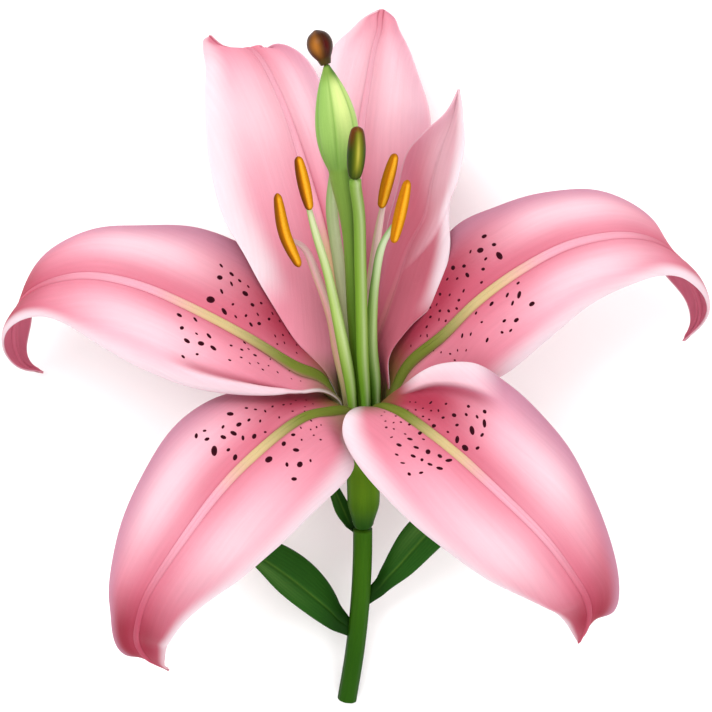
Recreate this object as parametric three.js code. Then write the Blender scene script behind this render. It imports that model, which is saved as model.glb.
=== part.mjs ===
// A cut lily laid on a flat surface: seven tepals, six stamens, a pistil, the flower's seat,
// a short length of stem, two leaves and a bract. Millimetres, +Z up off the surface.
// The stem runs towards -Y, the flower opens towards +Y and up, and its side tepals reach
// out along X. Each petal-like piece is a thin shell lofted over three rails: its rib and
// its two margins.
import * as THREE from "three";

// ---- driving dimensions ----
const flowerSpan = 198; // across the curled tips of the two side tepals
const pistilReach = 114; // seat to the top of the pistil's head
const stamenReach = 84; // seat to the middle of the front anther
const stemLength = 52; // cut end to the seat's lower end
const stemDiameter = 5.5;
const axisRise = 30; // degrees that the flower's axis rises off the surface
const stemRise = 22; // degrees that the stem rises off the surface
const seatLength = 33; // the swollen seat, from the stem to where the tepals join
const seatWaist = 9.2; // its diameter a third of the way up
const tepalThickness = 1.2; // blade, between the rib and the margin
const ribThickness = 0.9; // what the rib adds to the blade
const clawThickness = 1.9; // a tepal where it joins the seat
const filamentDiameter = 3.6; // at its thickest, a third of the way up
const filamentFoot = 2.4; // at the seat
const filamentTip = 1.3;
const antherLength = 22; // the longest; the others keep their share of it
const antherDiameter = 3.6;
const greenAntherLength = 15.5; // the short unripe anther in front
const greenAntherDiameter = 5.4;
const ovaryDiameter = 4;
const styleDiameter = 3.2;
const headLength = 33; // the style's swollen, ribbed upper end
const headDiameter = 11.6;
const stigmaLength = 9.2;
const stigmaDiameter = 7.2;
const leafLength = 46;
const leafWidth = 13;
const leafThickness = 1;
const bractLength = 21;
const bractWidth = 4.8;
const clearance = 0.35; // between pieces that grow out of each other

// ---- the drawing that the rails below belong to ----
const drawnSpan = 198;
const drawnPistil = 114;
const drawnStamen = 84;
const drawnAnther = 22;
const drawnGreenAnther = 15.5;
const drawnLeaf = 46;
const drawnLeafWidth = 13;
const tepalCount = 7;
const filamentCount = 6;

const vec = (p) => new THREE.Vector3(p[0], p[1], p[2]);
const degrees = (d) => (d * Math.PI) / 180;

// The middle of the seat's upper face, and the flower's own axes there.
const seat = new THREE.Vector3(2.3, -19, 38);
const axis = new THREE.Vector3(0, Math.cos(degrees(axisRise)), Math.sin(degrees(axisRise)));
const front = new THREE.Vector3(0, -Math.sin(degrees(axisRise)), Math.cos(degrees(axisRise)));
const side = new THREE.Vector3(1, 0, 0);

// A direction square to the axis: 0 degrees faces front, 90 faces +X, 180 the surface.
function around(azimuth) {
  const a = degrees(azimuth);
  return front.clone().multiplyScalar(Math.cos(a)).addScaledVector(side, Math.sin(a));
}

// A point of the flower: so far along the axis, and so far out at an azimuth.
function flowerPoint(along, out, azimuth) {
  return seat.clone().addScaledVector(axis, along).addScaledVector(around(azimuth), out);
}

// A drawn point, moved away from the seat by the drawing's scale.
function grown(p, scale) {
  return vec(p).sub(seat).multiplyScalar(scale).add(seat);
}

// ---- rings on the seat, from the inside out ----
const filamentRing = Math.max(
  (ovaryDiameter + filamentFoot) / 2 + clearance,
  (filamentFoot + clearance) / (2 * Math.sin(Math.PI / filamentCount)),
);
const tepalRing = Math.max(
  filamentRing + (filamentDiameter + clawThickness) / 2 + clearance,
  6.6,
);
const clawWidth = 2 * (tepalRing - clawThickness / 2) * Math.sin(Math.PI / tepalCount) - clearance;
const seatRadius = tepalRing + clawThickness / 2 + clearance;

// ---- solids ----

// A closed skin over rings of points. Each ring turns anticlockwise seen from the far end.
// Each end is closed by a ladder between the two halves of its ring.
function loft(rings) {
  const n = rings[0].length;
  const positions = rings.flat().flatMap((p) => [p.x, p.y, p.z]);
  const faces = [];
  for (let i = 0; i + 1 < rings.length; i++) {
    for (let j = 0; j < n; j++) {
      const a = i * n + j;
      const b = i * n + ((j + 1) % n);
      faces.push(a, b, b + n, a, b + n, a + n);
    }
  }
  const last = (rings.length - 1) * n;
  for (let j = 0; j < n / 2 - 1; j++) {
    const k = n - 1 - j;
    faces.push(j, k, j + 1, j + 1, k, k - 1);
    faces.push(last + j, last + j + 1, last + k, last + j + 1, last + k - 1, last + k);
  }
  const geometry = new THREE.BufferGeometry();
  geometry.setAttribute("position", new THREE.Float32BufferAttribute(positions, 3));
  geometry.setIndex(faces);
  return geometry;
}

// A round or oval rod along a curve. widthAt and depthAt give its half sizes at 0 to 1.
function rod(points, steps, sides, widthAt, depthAt = widthAt) {
  const curve = new THREE.CatmullRomCurve3(points, false, "centripetal");
  const frames = curve.computeFrenetFrames(steps, false);
  const rings = [];
  for (let i = 0; i <= steps; i++) {
    const u = i / steps;
    const centre = curve.getPointAt(u);
    const across = frames.normals[i];
    const through = frames.binormals[i];
    const ring = [];
    for (let j = 0; j < sides; j++) {
      const angle = (2 * Math.PI * (j + 0.5)) / sides;
      ring.push(
        centre
          .clone()
          .addScaledVector(across, widthAt(u) * Math.cos(angle))
          .addScaledVector(through, depthAt(u) * Math.sin(angle)),
      );
    }
    rings.push(ring);
  }
  return loft(rings);
}

// A half size that follows a list of [share of the length, size], eased between them.
function profile(list) {
  return (u) => {
    let k = 0;
    while (k < list.length - 2 && u > list[k + 1][0]) k++;
    const [u0, r0] = list[k];
    const [u1, r1] = list[k + 1];
    return THREE.MathUtils.lerp(r0, r1, THREE.MathUtils.smoothstep(u, u0, u1));
  };
}

// A thin blade over three rails with as many points each: its rib, its clockwise margin a
// and its anticlockwise margin b. Its inner face is the one that the flower's axis sees.
// thick(u, v) is its thickness at u along it and v across it, -1 at a and 1 at b.
function blade(rib, a, b, rows, columns, crown, thick) {
  const rails = [rib, a, b].map((r) => new THREE.CatmullRomCurve3(r, false, "centripetal"));
  const middle = [];
  for (let i = 0; i <= rows; i++) {
    const u = i / rows;
    const [m, pa, pb] = rails.map((r) => r.getPoint(u));
    const half = pb.clone().sub(pa).multiplyScalar(0.5);
    const bend = pa.clone().add(pb).multiplyScalar(0.5).sub(m);
    const line = [];
    for (let j = 0; j <= columns; j++) {
      const v = (2 * j) / columns - 1;
      line.push(m.clone().addScaledVector(half, v).addScaledVector(bend, v * v));
    }
    middle.push(line);
  }
  const rings = [];
  for (let i = 0; i <= rows; i++) {
    const lower = [];
    const upper = [];
    for (let j = 0; j <= columns; j++) {
      const u = i / rows;
      const v = (2 * j) / columns - 1;
      const along = middle[Math.min(i + 1, rows)][j].clone().sub(middle[Math.max(i - 1, 0)][j]);
      const across = middle[i][Math.min(j + 1, columns)]
        .clone()
        .sub(middle[i][Math.max(j - 1, 0)]);
      const normal = along.cross(across).normalize();
      const width = middle[i][0].distanceTo(middle[i][columns]);
      const lift = crown * width * 4 * Math.abs(v) * (1 - Math.abs(v));
      const t = thick(u, v) / 2;
      const p = middle[i][j];
      lower.push(p.clone().addScaledVector(normal, lift - t));
      upper.push(p.clone().addScaledVector(normal, lift + t));
    }
    rings.push([...lower, ...upper.reverse()]);
  }
  return loft(rings);
}

// ---- tepals ----
// Each tepal leaves the seat at its azimuth. Its margins lie over their neighbours, 1, or
// under them, -1 or less. Its rails are drawn from the throat to the tip,
// with the clockwise margin a, the rib and the anticlockwise margin b side by side.
const tepals = [
  {
    name: "tepal_lower_right",
    azimuth: 25.7,
    over: [1, 1],
    // [margin a, rib, margin b]
    rails: [
      [[-2.5, -15.4, 58], [11.8, -14.8, 57], [15.2, -6.2, 56]],
      [[-3.4, -21.3, 61], [17.9, -18.5, 63], [23.5, -1.7, 60]],
      [[2.5, -31.9, 64], [28.6, -26.6, 71], [34.7, -1.7, 63]],
      [[17.9, -47.9, 67], [39.8, -36.7, 76], [46.5, -9.5, 65]],
      [[37.5, -61.6, 68], [52.9, -49.8, 77], [61, -26, 65]],
      [[51.5, -67.8, 65], [61.6, -61.9, 72], [69.4, -44.5, 62]],
      [[55.6, -70.4, 60.5], [64, -66.3, 66.5], [73.6, -60.5, 57]],
      [[59, -73.6, 55], [64.8, -69.6, 60.5], [72.2, -70.2, 47.5]],
      [[60.9, -76.4, 50], [64.2, -73.4, 54], [66.8, -71.8, 45]],
      [[62.4, -79, 44], [62.6, -79, 44], [62.8, -79, 44]],
    ],
  },
  {
    name: "tepal_right",
    azimuth: 77.1,
    over: [-1, -1.4],
    rails: [
      [[15, -8.2, 45], [14.6, -1.8, 43.5], [8.6, 7.6, 37.4]],
      [[31.9, -8.1, 46], [24.6, 6.4, 48], [17.9, 24.1, 37]],
      [[41.2, -5, 50], [34.2, 15.7, 51], [27.7, 37.5, 37]],
      [[53.8, 5.3, 54], [47, 24.9, 54], [40.3, 43.7, 38]],
      [[65.5, 14.8, 56], [59.9, 31.4, 55], [53.5, 47.3, 38]],
      [[76.7, 20.4, 55], [72.8, 33.9, 53], [68.3, 47.3, 36]],
      [[87, 23.5, 47], [83, 32.3, 42], [83.8, 38.8, 28]],
      [[95.4, 20.8, 38], [91.8, 25.8, 28], [86, 26.5, 18.5]],
      [[99.4, 15, 25], [97, 16.4, 16], [93.4, 16.4, 11]],
      [[98.4, 10.4, 13], [96.8, 10.4, 9], [94.8, 10.4, 6]],
      [[93.1, 4.9, 2.6], [93, 4.9, 2.4], [92.9, 4.9, 2.2]],
    ],
  },
  {
    name: "tepal_upper_right",
    azimuth: 128.6,
    over: [1, 1],
    rails: [
      [[8.6, 0, 46.3], [6, 2.5, 40.5], [3.6, 5, 41]],
      [[15.1, 8.7, 46], [8.4, 11.8, 43], [5, 14.3, 43]],
      [[22.7, 16, 47], [11.5, 20.7, 43], [6.7, 25.5, 44]],
      [[26.6, 30, 46], [15.1, 31.1, 42], [9, 36.7, 44]],
      [[26.3, 41.4, 43], [19.3, 39.5, 41], [11.8, 47.9, 43]],
      [[29.4, 50.4, 45], [21.3, 48.2, 39], [14.8, 58.2, 42]],
      [[31.1, 60.5, 43], [24.1, 57.1, 37], [19.9, 63.3, 40]],
      [[30.4, 69.4, 39], [27.7, 66.4, 36], [26, 68.9, 38]],
      [[29.6, 75, 36.2], [29.4, 75, 36], [29.2, 75, 36.2]],
    ],
  },
  {
    name: "tepal_top",
    azimuth: 180,
    over: [-1, -1],
    rails: [
      [[6, 1.5, 36], [1.6, 1.5, 34], [-2.5, 1.5, 34.5]],
      [[8.1, 15.7, 35], [0.6, 15.7, 33], [-4.5, 15.7, 34]],
      [[13.7, 33.9, 34], [0.3, 32.5, 30], [-6.4, 32.5, 31]],
      [[19.3, 50.7, 32], [1.1, 49.3, 26], [-7.3, 49.3, 28]],
      [[21.3, 64.7, 28], [2, 64.7, 20], [-8.4, 66, 24]],
      [[19.9, 73.1, 24], [3.9, 77.3, 13], [-8.7, 77.3, 18]],
      [[15.7, 85.1, 16], [5.6, 87.1, 6.5], [-6.2, 87.1, 12]],
      [[12.6, 92, 9], [6.9, 92.4, 2.8], [-1.4, 92.4, 7.5]],
      [[11.2, 96, 4.6], [7.2, 96.8, 1.5], [2.2, 96, 3.6]],
      [[8, 98.5, 1.4], [7.6, 98.5, 1.2], [7.2, 98.5, 1.3]],
    ],
  },
  {
    name: "tepal_upper_left",
    azimuth: 231.4,
    over: [1, 1],
    rails: [
      [[-1.1, 1.7, 40], [-3.4, 0.5, 40.5], [-8.7, 0.3, 44]],
      [[-1.7, 18.5, 42], [-5.9, 15.7, 41], [-20.2, 11.8, 50]],
      [[-3.1, 36.7, 41], [-9.5, 35.3, 37], [-30, 28, 50]],
      [[-5.3, 52.1, 38], [-13.4, 50.7, 31], [-37.5, 42.3, 44]],
      [[-7.3, 67.5, 33], [-17.6, 64.7, 24], [-41.2, 60.2, 36]],
      [[-9.5, 77.3, 27], [-21.8, 75.3, 17], [-42, 71.7, 28]],
      [[-14, 85, 19], [-25.8, 82.9, 9.5], [-41.7, 81.5, 19]],
      [[-21.5, 88.4, 10], [-29.6, 86.6, 3.6], [-42.4, 85.6, 12.5]],
      [[-27.4, 86, 5], [-33, 86.4, 2.2], [-42.9, 88, 8]],
      [[-36.8, 87.8, 2.2], [-38.6, 88.4, 1.5], [-43, 90, 4.4]],
      [[-40.9, 91.2, 1.5], [-41.1, 91.3, 1.4], [-41.3, 91.2, 1.5]],
    ],
  },
  {
    name: "tepal_left",
    azimuth: 282.9,
    over: [-1, 1],
    rails: [
      [[-7.2, 2.6, 38.4], [-9.5, -5.2, 46], [-8.5, -8.9, 52]],
      [[-15.5, 13.5, 39.5], [-16.4, -2.2, 50], [-16.8, -10, 56]],
      [[-26.5, 29.5, 39], [-29, 5.2, 55], [-29.7, -10.1, 60]],
      [[-42.5, 37, 39.5], [-45, 13.6, 57], [-45, -8.1, 61]],
      [[-61, 37.9, 40], [-60.5, 20.2, 57], [-59, -3.1, 60]],
      [[-73, 36.7, 37], [-73.9, 22.7, 55], [-71.7, 4.2, 59]],
      [[-83.4, 31.9, 30], [-84.3, 21, 46], [-82.9, 10.9, 53]],
      [[-89.3, 25.5, 23], [-91.4, 17, 36], [-91.8, 12, 45]],
      [[-91.4, 11, 14], [-95.4, 10, 23], [-98, 7.5, 32]],
      [[-93, 3.4, 6], [-95.6, 3, 12], [-98.6, 2, 19]],
      [[-91.7, -1, 3.6], [-93.2, -1.9, 6], [-94.7, -2.7, 9]],
      [[-88.3, -3.9, 2.2], [-88.2, -3.9, 2.4], [-88.1, -3.9, 2.6]],
    ],
  },
  {
    name: "tepal_lower_left",
    azimuth: 334.3,
    over: [-1.3, -1],
    rails: [
      [[-11.6, -10.2, 38], [-7.6, -14.2, 52], [-2.6, -22.1, 50]],
      [[-20.5, -7.9, 42], [-14.3, -16, 58], [0.3, -29.4, 56]],
      [[-38.8, -9.4, 49], [-26.9, -25.5, 69], [-8.7, -40.3, 61]],
      [[-53.5, -20.7, 58], [-37.5, -36.1, 75], [-21, -52.1, 64]],
      [[-65.5, -45.4, 60], [-49.3, -52.1, 77], [-33.9, -62.7, 65]],
      [[-68.7, -63.2, 56], [-57.4, -64.7, 71], [-45.9, -71.7, 61]],
      [[-68.5, -71, 49], [-59.9, -72.5, 63], [-51.2, -78.1, 55]],
      [[-66.8, -79.8, 41], [-60.6, -77.8, 51.5], [-52.4, -79.8, 49]],
      [[-64.2, -82.4, 38], [-59.4, -80.6, 47], [-53, -82.8, 45.5]],
      [[-60.4, -82.6, 37], [-57, -83.6, 41.5], [-53.2, -85.3, 41.5]],
      [[-52.2, -86.8, 37.6], [-52.1, -86.8, 37.8], [-52, -86.8, 38]],
    ],
  },
];

// A station of a tepal's claw. Its margins tuck in towards the axis by tuck[0] and tuck[1],
// or out where those are negative, so that neighbours lie over and under each other.
function claw(azimuth, along, out, width, tuck) {
  const across = around(azimuth + 90).multiplyScalar((clawWidth * width) / 2);
  const rib = flowerPoint(along, out, azimuth);
  const inward = around(azimuth).negate();
  const a = rib.clone().sub(across).addScaledVector(inward, tuck[0]);
  const b = rib.clone().add(across).addScaledVector(inward, tuck[1]);
  return [a, rib, b];
}

function tepalGeometry({ azimuth, over, rails }) {
  const scale = flowerSpan / drawnSpan;
  const stations = [
    claw(azimuth, 1.3 * clearance, tepalRing, 0.8, [0, 0]),
    claw(azimuth, 5, tepalRing + 0.4, 0.75, over.map((o) => 0.6 * o)),
    claw(azimuth, 10, tepalRing + 1.5, 1.2, over.map((o) => 1.85 * o)),
    ...rails.map((station) => station.map((p) => grown(p, scale))),
  ];
  const [a, rib, b] = [0, 1, 2].map((k) => stations.map((s) => s[k]));
  const thick = (u, v) => {
    const foot = clawThickness * (1 - 0.4 * v * v);
    const body = tepalThickness * (1 - 0.35 * v * v) + ribThickness * Math.exp(-30 * v * v);
    return THREE.MathUtils.lerp(foot, body, THREE.MathUtils.smoothstep(u, 0, 0.2));
  };
  return blade(rib, a, b, 28, 10, 0.02, thick);
}

// ---- stamens ----
// A filament leaves the seat at its azimuth and follows its drawn points. An anther lies on
// tail, middle and tip; all but the green one are held at the middle of their back. The
// green one's filament stays thick to its end, and the broad one's nearly so.
const stamens = [
  {
    name: "front",
    azimuth: 20,
    filament: [[3, -10, 47.6], [2.2, 0, 54], [1.9, 10, 59.5], [1.5, 26, 67], [1.1, 40, 74]],
    anther: [[-0.1, 49, 79.5], [0.4, 56.3, 82], [0.7, 63.5, 84]],
    green: true,
  },
  {
    name: "right",
    azimuth: 80,
    filament: [[5.6, -7, 44.6], [4.6, 2.2, 49.3], [4.6, 10, 54], [5.6, 21.8, 61], [7.6, 31.4, 67]],
    anther: [[10.5, 31.6, 73], [12.6, 40.3, 76], [14.6, 49, 78]],
  },
  {
    name: "back_right",
    azimuth: 140,
    filament: [[4.6, -7, 40.8], [4.2, 3, 45], [3.6, 10, 48.5], [4.8, 24, 56.5], [6.7, 36.7, 63]],
    anther: [[7.1, 41.2, 69], [9, 48.7, 71], [11.2, 56.3, 73]],
  },
  {
    name: "back",
    azimuth: 200,
    filament: [[0.3, -8, 40], [-1, 2, 43.5], [-2.2, 12, 46.8], [-4.4, 26, 50.6], [-6.5, 42, 53.4]],
    anther: [[-5.2, 50.5, 57], [-5.6, 59.5, 58.5], [-6.4, 68.5, 60]],
    broad: true,
  },
  {
    name: "left",
    azimuth: 260,
    filament: [[-2.5, -7, 44.2], [-4.5, 2, 47], [-6.2, 10.6, 51], [-10.2, 22, 58], [-14, 30.4, 63.5]],
    anther: [[-15.1, 25, 68.5], [-19.4, 34.2, 71.5], [-21.6, 45.4, 74]],
  },
  {
    name: "front_left",
    azimuth: 320,
    filament: [[-1.2, -7, 48], [-2.9, 2.2, 54.2], [-4.5, 10, 58.6], [-7.6, 23.8, 66], [-11.4, 36.4, 72]],
    anther: [[-12.3, 40.6, 76.5], [-14.1, 48.2, 78.5], [-15.7, 55.4, 80]],
  },
];

function stamenGeometry({ azimuth, filament, anther, green, broad }) {
  const scale = stamenReach / drawnStamen;
  const drawn = anther.map((p) => grown(p, scale));
  const middle = drawn[1];
  const stretch = green ? greenAntherLength / drawnGreenAnther : antherLength / drawnAnther;
  const radius = (green ? greenAntherDiameter : antherDiameter) / 2;
  const line = drawn.map((p) => p.clone().sub(middle).multiplyScalar(stretch).add(middle));
  const back = new THREE.Vector3(0, -0.35, -1).normalize();
  const hold = green
    ? line[0].clone().addScaledVector(line[0].clone().sub(line[1]).normalize(), 2 * clearance)
    : middle.clone().addScaledVector(back, radius + 1.3 * clearance + filamentTip / 2);
  const tipRadius = green ? filamentDiameter / 2 : filamentTip / 2;
  const thickness = profile([
    [0, filamentFoot / 2],
    [0.3, filamentDiameter / 2],
    [0.75, green || broad ? filamentDiameter / 2 : filamentDiameter * 0.34],
    [1, tipRadius],
  ]);
  const points = [
    flowerPoint(1.4 * clearance, filamentRing, azimuth),
    ...filament.map((p) => grown(p, scale)),
    hold,
  ];
  const belly = (u) => radius * Math.pow(Math.sin(Math.PI * (0.03 + 0.94 * u)), 0.32);
  return {
    filament: rod(points, 18, 8, thickness),
    anther: rod(line, 10, 10, belly, (u) => 0.85 * belly(u)),
  };
}

// ---- pistil ----
const pistilLine = [
  [1.9, -10, 43.2], [0.6, 0, 48.3], [-0.6, 12, 53.4], [-1.3, 26, 59.5], [-2.4, 40, 64.5],
  [-4.2, 51, 67.6], [-5.2, 64.5, 70.2], [-8, 81, 72.6],
];

function pistilPoints() {
  const scale = pistilReach / drawnPistil;
  return [flowerPoint(clearance, 0, 0), ...pistilLine.map((p) => grown(p, scale))];
}

function pistilGeometry() {
  const headFrom = 1 - headLength / pistilReach;
  const stalk = profile([
    [0, ovaryDiameter / 2],
    [0.16, ovaryDiameter / 2],
    [0.3, styleDiameter / 2],
    [headFrom - 0.2, styleDiameter / 2],
    [headFrom + 0.03, styleDiameter * 0.98],
    [1, styleDiameter * 0.3],
  ]);
  // The style broadens into the head, which is widest two fifths of the way up.
  const head = (u) => {
    const share = Math.max(0, (u - headFrom) / (1 - headFrom));
    const round = Math.max(0, Math.sin(Math.PI * Math.pow(share, 0.76)));
    return (headDiameter / 2) * Math.pow(round, 0.75);
  };
  return rod(pistilPoints(), 34, 12, (u) => Math.max(stalk(u), head(u)));
}

function stigmaGeometry() {
  const top = pistilPoints().at(-1);
  const lean = new THREE.Vector3(-0.3, 0.94, 0.12).normalize();
  const from = top.clone().addScaledVector(lean, 1.6 * clearance);
  const line = [0, 0.5, 1].map((u) => from.clone().addScaledVector(lean, u * stigmaLength));
  // An egg: narrow at its foot, widest just past its middle.
  const egg = (u) => Math.pow(Math.sin(Math.PI * (0.07 + 0.89 * Math.pow(u, 1.2))), 0.62);
  return rod(line, 12, 12, (u) => (stigmaDiameter / 2) * egg(u));
}

// ---- seat and stem ----
const seatFoot = seat.clone().addScaledVector(axis, -seatLength);

function seatGeometry() {
  const along = (share) => seatFoot.clone().lerp(seat, share);
  return rod(
    [along(0), along(0.5), along(1)],
    12,
    16,
    profile([
      [0, stemDiameter * 0.5],
      [0.28, seatWaist / 2],
      [0.6, seatWaist * 0.52],
      [1, seatRadius],
    ]),
  );
}

// The stem's middle line, from under the seat to the cut end, bending a little sideways.
function stemPoints() {
  const rise = degrees(stemRise);
  const bend = Math.abs(Math.sin(degrees(axisRise - stemRise)));
  const top = seatFoot.clone().addScaledVector(axis, -clearance - (bend * stemDiameter) / 2);
  return [0, 0.15, 0.4, 0.7, 1].map((share) => {
    const run = share * stemLength * Math.cos(rise);
    const drop = share * stemLength * Math.sin(rise);
    return top.clone().add(new THREE.Vector3(-4.6 * share * share, -run, -drop));
  });
}

const stemCurve = new THREE.CatmullRomCurve3(stemPoints(), false, "centripetal");

function stemGeometry() {
  return rod(stemPoints(), 10, 12, () => stemDiameter / 2);
}

// ---- leaves ----
// Leaf rails are drawn from where the leaf leaves the stem. The stem's share says where.
const leaves = [
  {
    name: "leaf_left",
    share: 0.58,
    toward: [-1, 0.1, 0],
    // [margin a, rib, margin b]
    rails: [
      [[0.2, 2.2, 0], [0, 0, 0], [-0.4, -2.2, 0]],
      [[-2.4, 9.6, 1], [-3.4, 4.3, 2], [-5.4, 0.6, 2]],
      [[-8, 17, 6], [-9.6, 9.8, 7], [-12.4, 5.4, 7]],
      [[-13.8, 22, 11], [-16, 15, 12], [-19, 11, 12]],
      [[-20, 25, 16], [-22.4, 19.5, 16.5], [-25, 17.6, 17]],
      [[-29.6, 28.2, 19], [-31, 25, 19.5], [-32, 23.6, 20]],
      [[-39.9, 30.6, 22], [-40, 30.5, 22], [-40.1, 30.4, 22]],
    ],
  },
  {
    name: "leaf_right",
    share: 0.4,
    toward: [1, 0.1, 0],
    rails: [
      [[0.2, -2, 0], [0, 0, 0], [0, 2.2, 0]],
      [[4.6, 2.2, 1], [3.4, 5, 2], [2, 7.4, 1]],
      [[10.4, 6.6, 5], [7.4, 9.4, 6], [4.4, 13, 5]],
      [[16, 11.6, 10], [12.2, 15, 11], [8.4, 19.4, 10]],
      [[21.4, 17, 15], [17.4, 20.6, 16], [14, 25, 15]],
      [[26.8, 23, 19], [24, 26, 20], [22, 29, 19.5]],
      [[32.3, 32.2, 23], [32.2, 32.3, 23], [32.1, 32.4, 23]],
    ],
  },
];

// Moves a margin nearer to or further from its rib, for a narrower or a wider blade.
function widened(stations, scale) {
  return stations.map(([a, rib, b]) => [
    rib.clone().lerp(a, scale),
    rib,
    rib.clone().lerp(b, scale),
  ]);
}

function leafGeometry({ share, toward, rails }) {
  const centre = stemCurve.getPointAt(share);
  const out = vec(toward).normalize();
  const foot = centre.addScaledVector(out, stemDiameter / 2 + leafThickness / 2 + clearance);
  const scale = leafLength / drawnLeaf;
  const stations = widened(
    rails.map((s) => s.map((p) => vec(p).multiplyScalar(scale).add(foot))),
    leafWidth / drawnLeafWidth / scale,
  );
  const [a, rib, b] = [0, 1, 2].map((k) => stations.map((s) => s[k]));
  const thick = (u, v) => leafThickness * (1 - 0.3 * v * v) + 0.4 * Math.exp(-30 * v * v);
  return blade(rib, a, b, 14, 6, 0.01, thick);
}

// The bract: a small leaf from the stem's top, close behind the seat.
function bractGeometry() {
  const out = new THREE.Vector3(-0.8, 0, -0.6);
  const foot = stemCurve.getPointAt(0.01);
  foot.addScaledVector(out, stemDiameter / 2 + leafThickness / 2 + 1.5 * clearance);
  const run = new THREE.Vector3(-0.36, 0.9, 0.2).normalize();
  const across = new THREE.Vector3(0.75, 0.45, -0.5).normalize();
  const widths = [0.3, 0.8, 1, 0.85, 0.5, 0.05];
  const stations = widths.map((w, i) => {
    const share = i / (widths.length - 1);
    const rib = foot.clone().addScaledVector(run, bractLength * share);
    rib.x -= 0.6 * share;
    const half = across.clone().multiplyScalar((w * bractWidth) / 2);
    return [rib.clone().add(half), rib, rib.clone().sub(half)];
  });
  const [a, rib, b] = [0, 1, 2].map((k) => stations.map((s) => s[k]));
  return blade(rib, a, b, 8, 4, 0.01, () => leafThickness);
}

// ---- the flower ----
const finish = {
  tepal: { color: 0xf3a3b8, roughness: 0.5 },
  filament: { color: 0xb9cf8c, roughness: 0.5 },
  pollen: { color: 0xe09010, roughness: 0.8 },
  unripe: { color: 0x5d6b14, roughness: 0.6 },
  pistil: { color: 0x9cc75a, roughness: 0.45 },
  stigma: { color: 0x8a4c1a, roughness: 0.6 },
  seat: { color: 0x4f861c, roughness: 0.5 },
  stem: { color: 0x2c5a16, roughness: 0.5 },
  leaf: { color: 0x245c20, roughness: 0.45 },
};

const lily = new THREE.Group();

function add(name, geometry, look) {
  const mesh = new THREE.Mesh(geometry, new THREE.MeshStandardMaterial({ metalness: 0, ...look }));
  mesh.name = name;
  lily.add(mesh);
}

for (const tepal of tepals) add(tepal.name, tepalGeometry(tepal), finish.tepal);
for (const stamen of stamens) {
  const { filament, anther } = stamenGeometry(stamen);
  add("filament_" + stamen.name, filament, finish.filament);
  add("anther_" + stamen.name, anther, stamen.green ? finish.unripe : finish.pollen);
}
add("pistil", pistilGeometry(), finish.pistil);
add("stigma", stigmaGeometry(), finish.stigma);
add("receptacle", seatGeometry(), finish.seat);
add("stem", stemGeometry(), finish.stem);
for (const leaf of leaves) add(leaf.name, leafGeometry(leaf), finish.leaf);
add("bract", bractGeometry(), finish.leaf);

// The origin is under the middle of the flower, on the surface that it lies on.
const box = new THREE.Box3().setFromObject(lily);
const middle = box.getCenter(new THREE.Vector3());
for (const mesh of lily.children) mesh.geometry.translate(-middle.x, -middle.y, -box.min.z);

export default lily;
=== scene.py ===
"""A cut lily laid on a pale surface and seen from above: seven spotted tepals, six stamens,
a pistil, the flower's seat, its stem, two leaves and a bract.

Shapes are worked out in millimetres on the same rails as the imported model, and each piece is
then fitted to its CAD node's box and scaled to metres."""

import math

import bpy
import numpy as np
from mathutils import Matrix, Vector


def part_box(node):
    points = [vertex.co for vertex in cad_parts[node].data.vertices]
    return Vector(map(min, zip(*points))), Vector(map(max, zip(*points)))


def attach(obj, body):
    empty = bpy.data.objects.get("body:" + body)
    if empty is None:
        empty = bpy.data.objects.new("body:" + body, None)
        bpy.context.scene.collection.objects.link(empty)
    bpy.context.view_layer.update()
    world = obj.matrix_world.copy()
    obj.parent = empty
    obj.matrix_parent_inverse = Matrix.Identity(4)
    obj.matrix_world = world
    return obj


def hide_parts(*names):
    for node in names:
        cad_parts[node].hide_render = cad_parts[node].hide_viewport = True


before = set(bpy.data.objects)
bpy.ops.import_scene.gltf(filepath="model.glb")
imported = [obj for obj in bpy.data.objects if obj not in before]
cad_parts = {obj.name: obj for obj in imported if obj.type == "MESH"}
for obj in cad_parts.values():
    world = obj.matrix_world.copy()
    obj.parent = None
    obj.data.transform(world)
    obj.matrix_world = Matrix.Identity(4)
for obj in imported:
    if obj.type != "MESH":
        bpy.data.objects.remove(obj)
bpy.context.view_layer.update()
MM = 0.001
BRIGHTNESS = 1.5  # how much brighter the set is than one that shows each tint as it is

# ---- places and sizes, in millimetres, before they are fitted to the frame ----
SEAT = np.array([2.3, -19.0, 38.0])
RISE = math.radians(30)
AXIS = np.array([0, math.cos(RISE), math.sin(RISE)])
FRONT = np.array([0, -math.sin(RISE), math.cos(RISE)])
SIDE = np.array([1.0, 0, 0])
UP = np.array([0, 0, 1.0])
TEPAL_RING = 6.65
CLAW_WIDTH = 4.6
FILAMENT_RING = 3.55
STEM_R = 2.75
GAP = 0.35  # between one node and the next


def around(azimuth):
    """A direction square to the flower's axis: 0 degrees faces front, 90 faces +X."""
    a = math.radians(azimuth)
    return FRONT * math.cos(a) + SIDE * math.sin(a)


def flower_point(along, out, azimuth):
    return SEAT + AXIS * along + around(azimuth) * out


# ---- curves and grids ----


def ramp(x, start, end):
    """0 up to the start and 1 past the end, eased between them. A start that is past the end
    makes it fall from 1 to 0 instead."""
    t = np.clip((x - start) / (end - start), 0, 1)
    return t * t * (3 - 2 * t)


def bell(x, centre, width):
    return np.exp(-(((x - centre) / width) ** 2))


def unit(v):
    return v / np.maximum(np.linalg.norm(v, axis=-1, keepdims=True), 1e-9)


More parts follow.
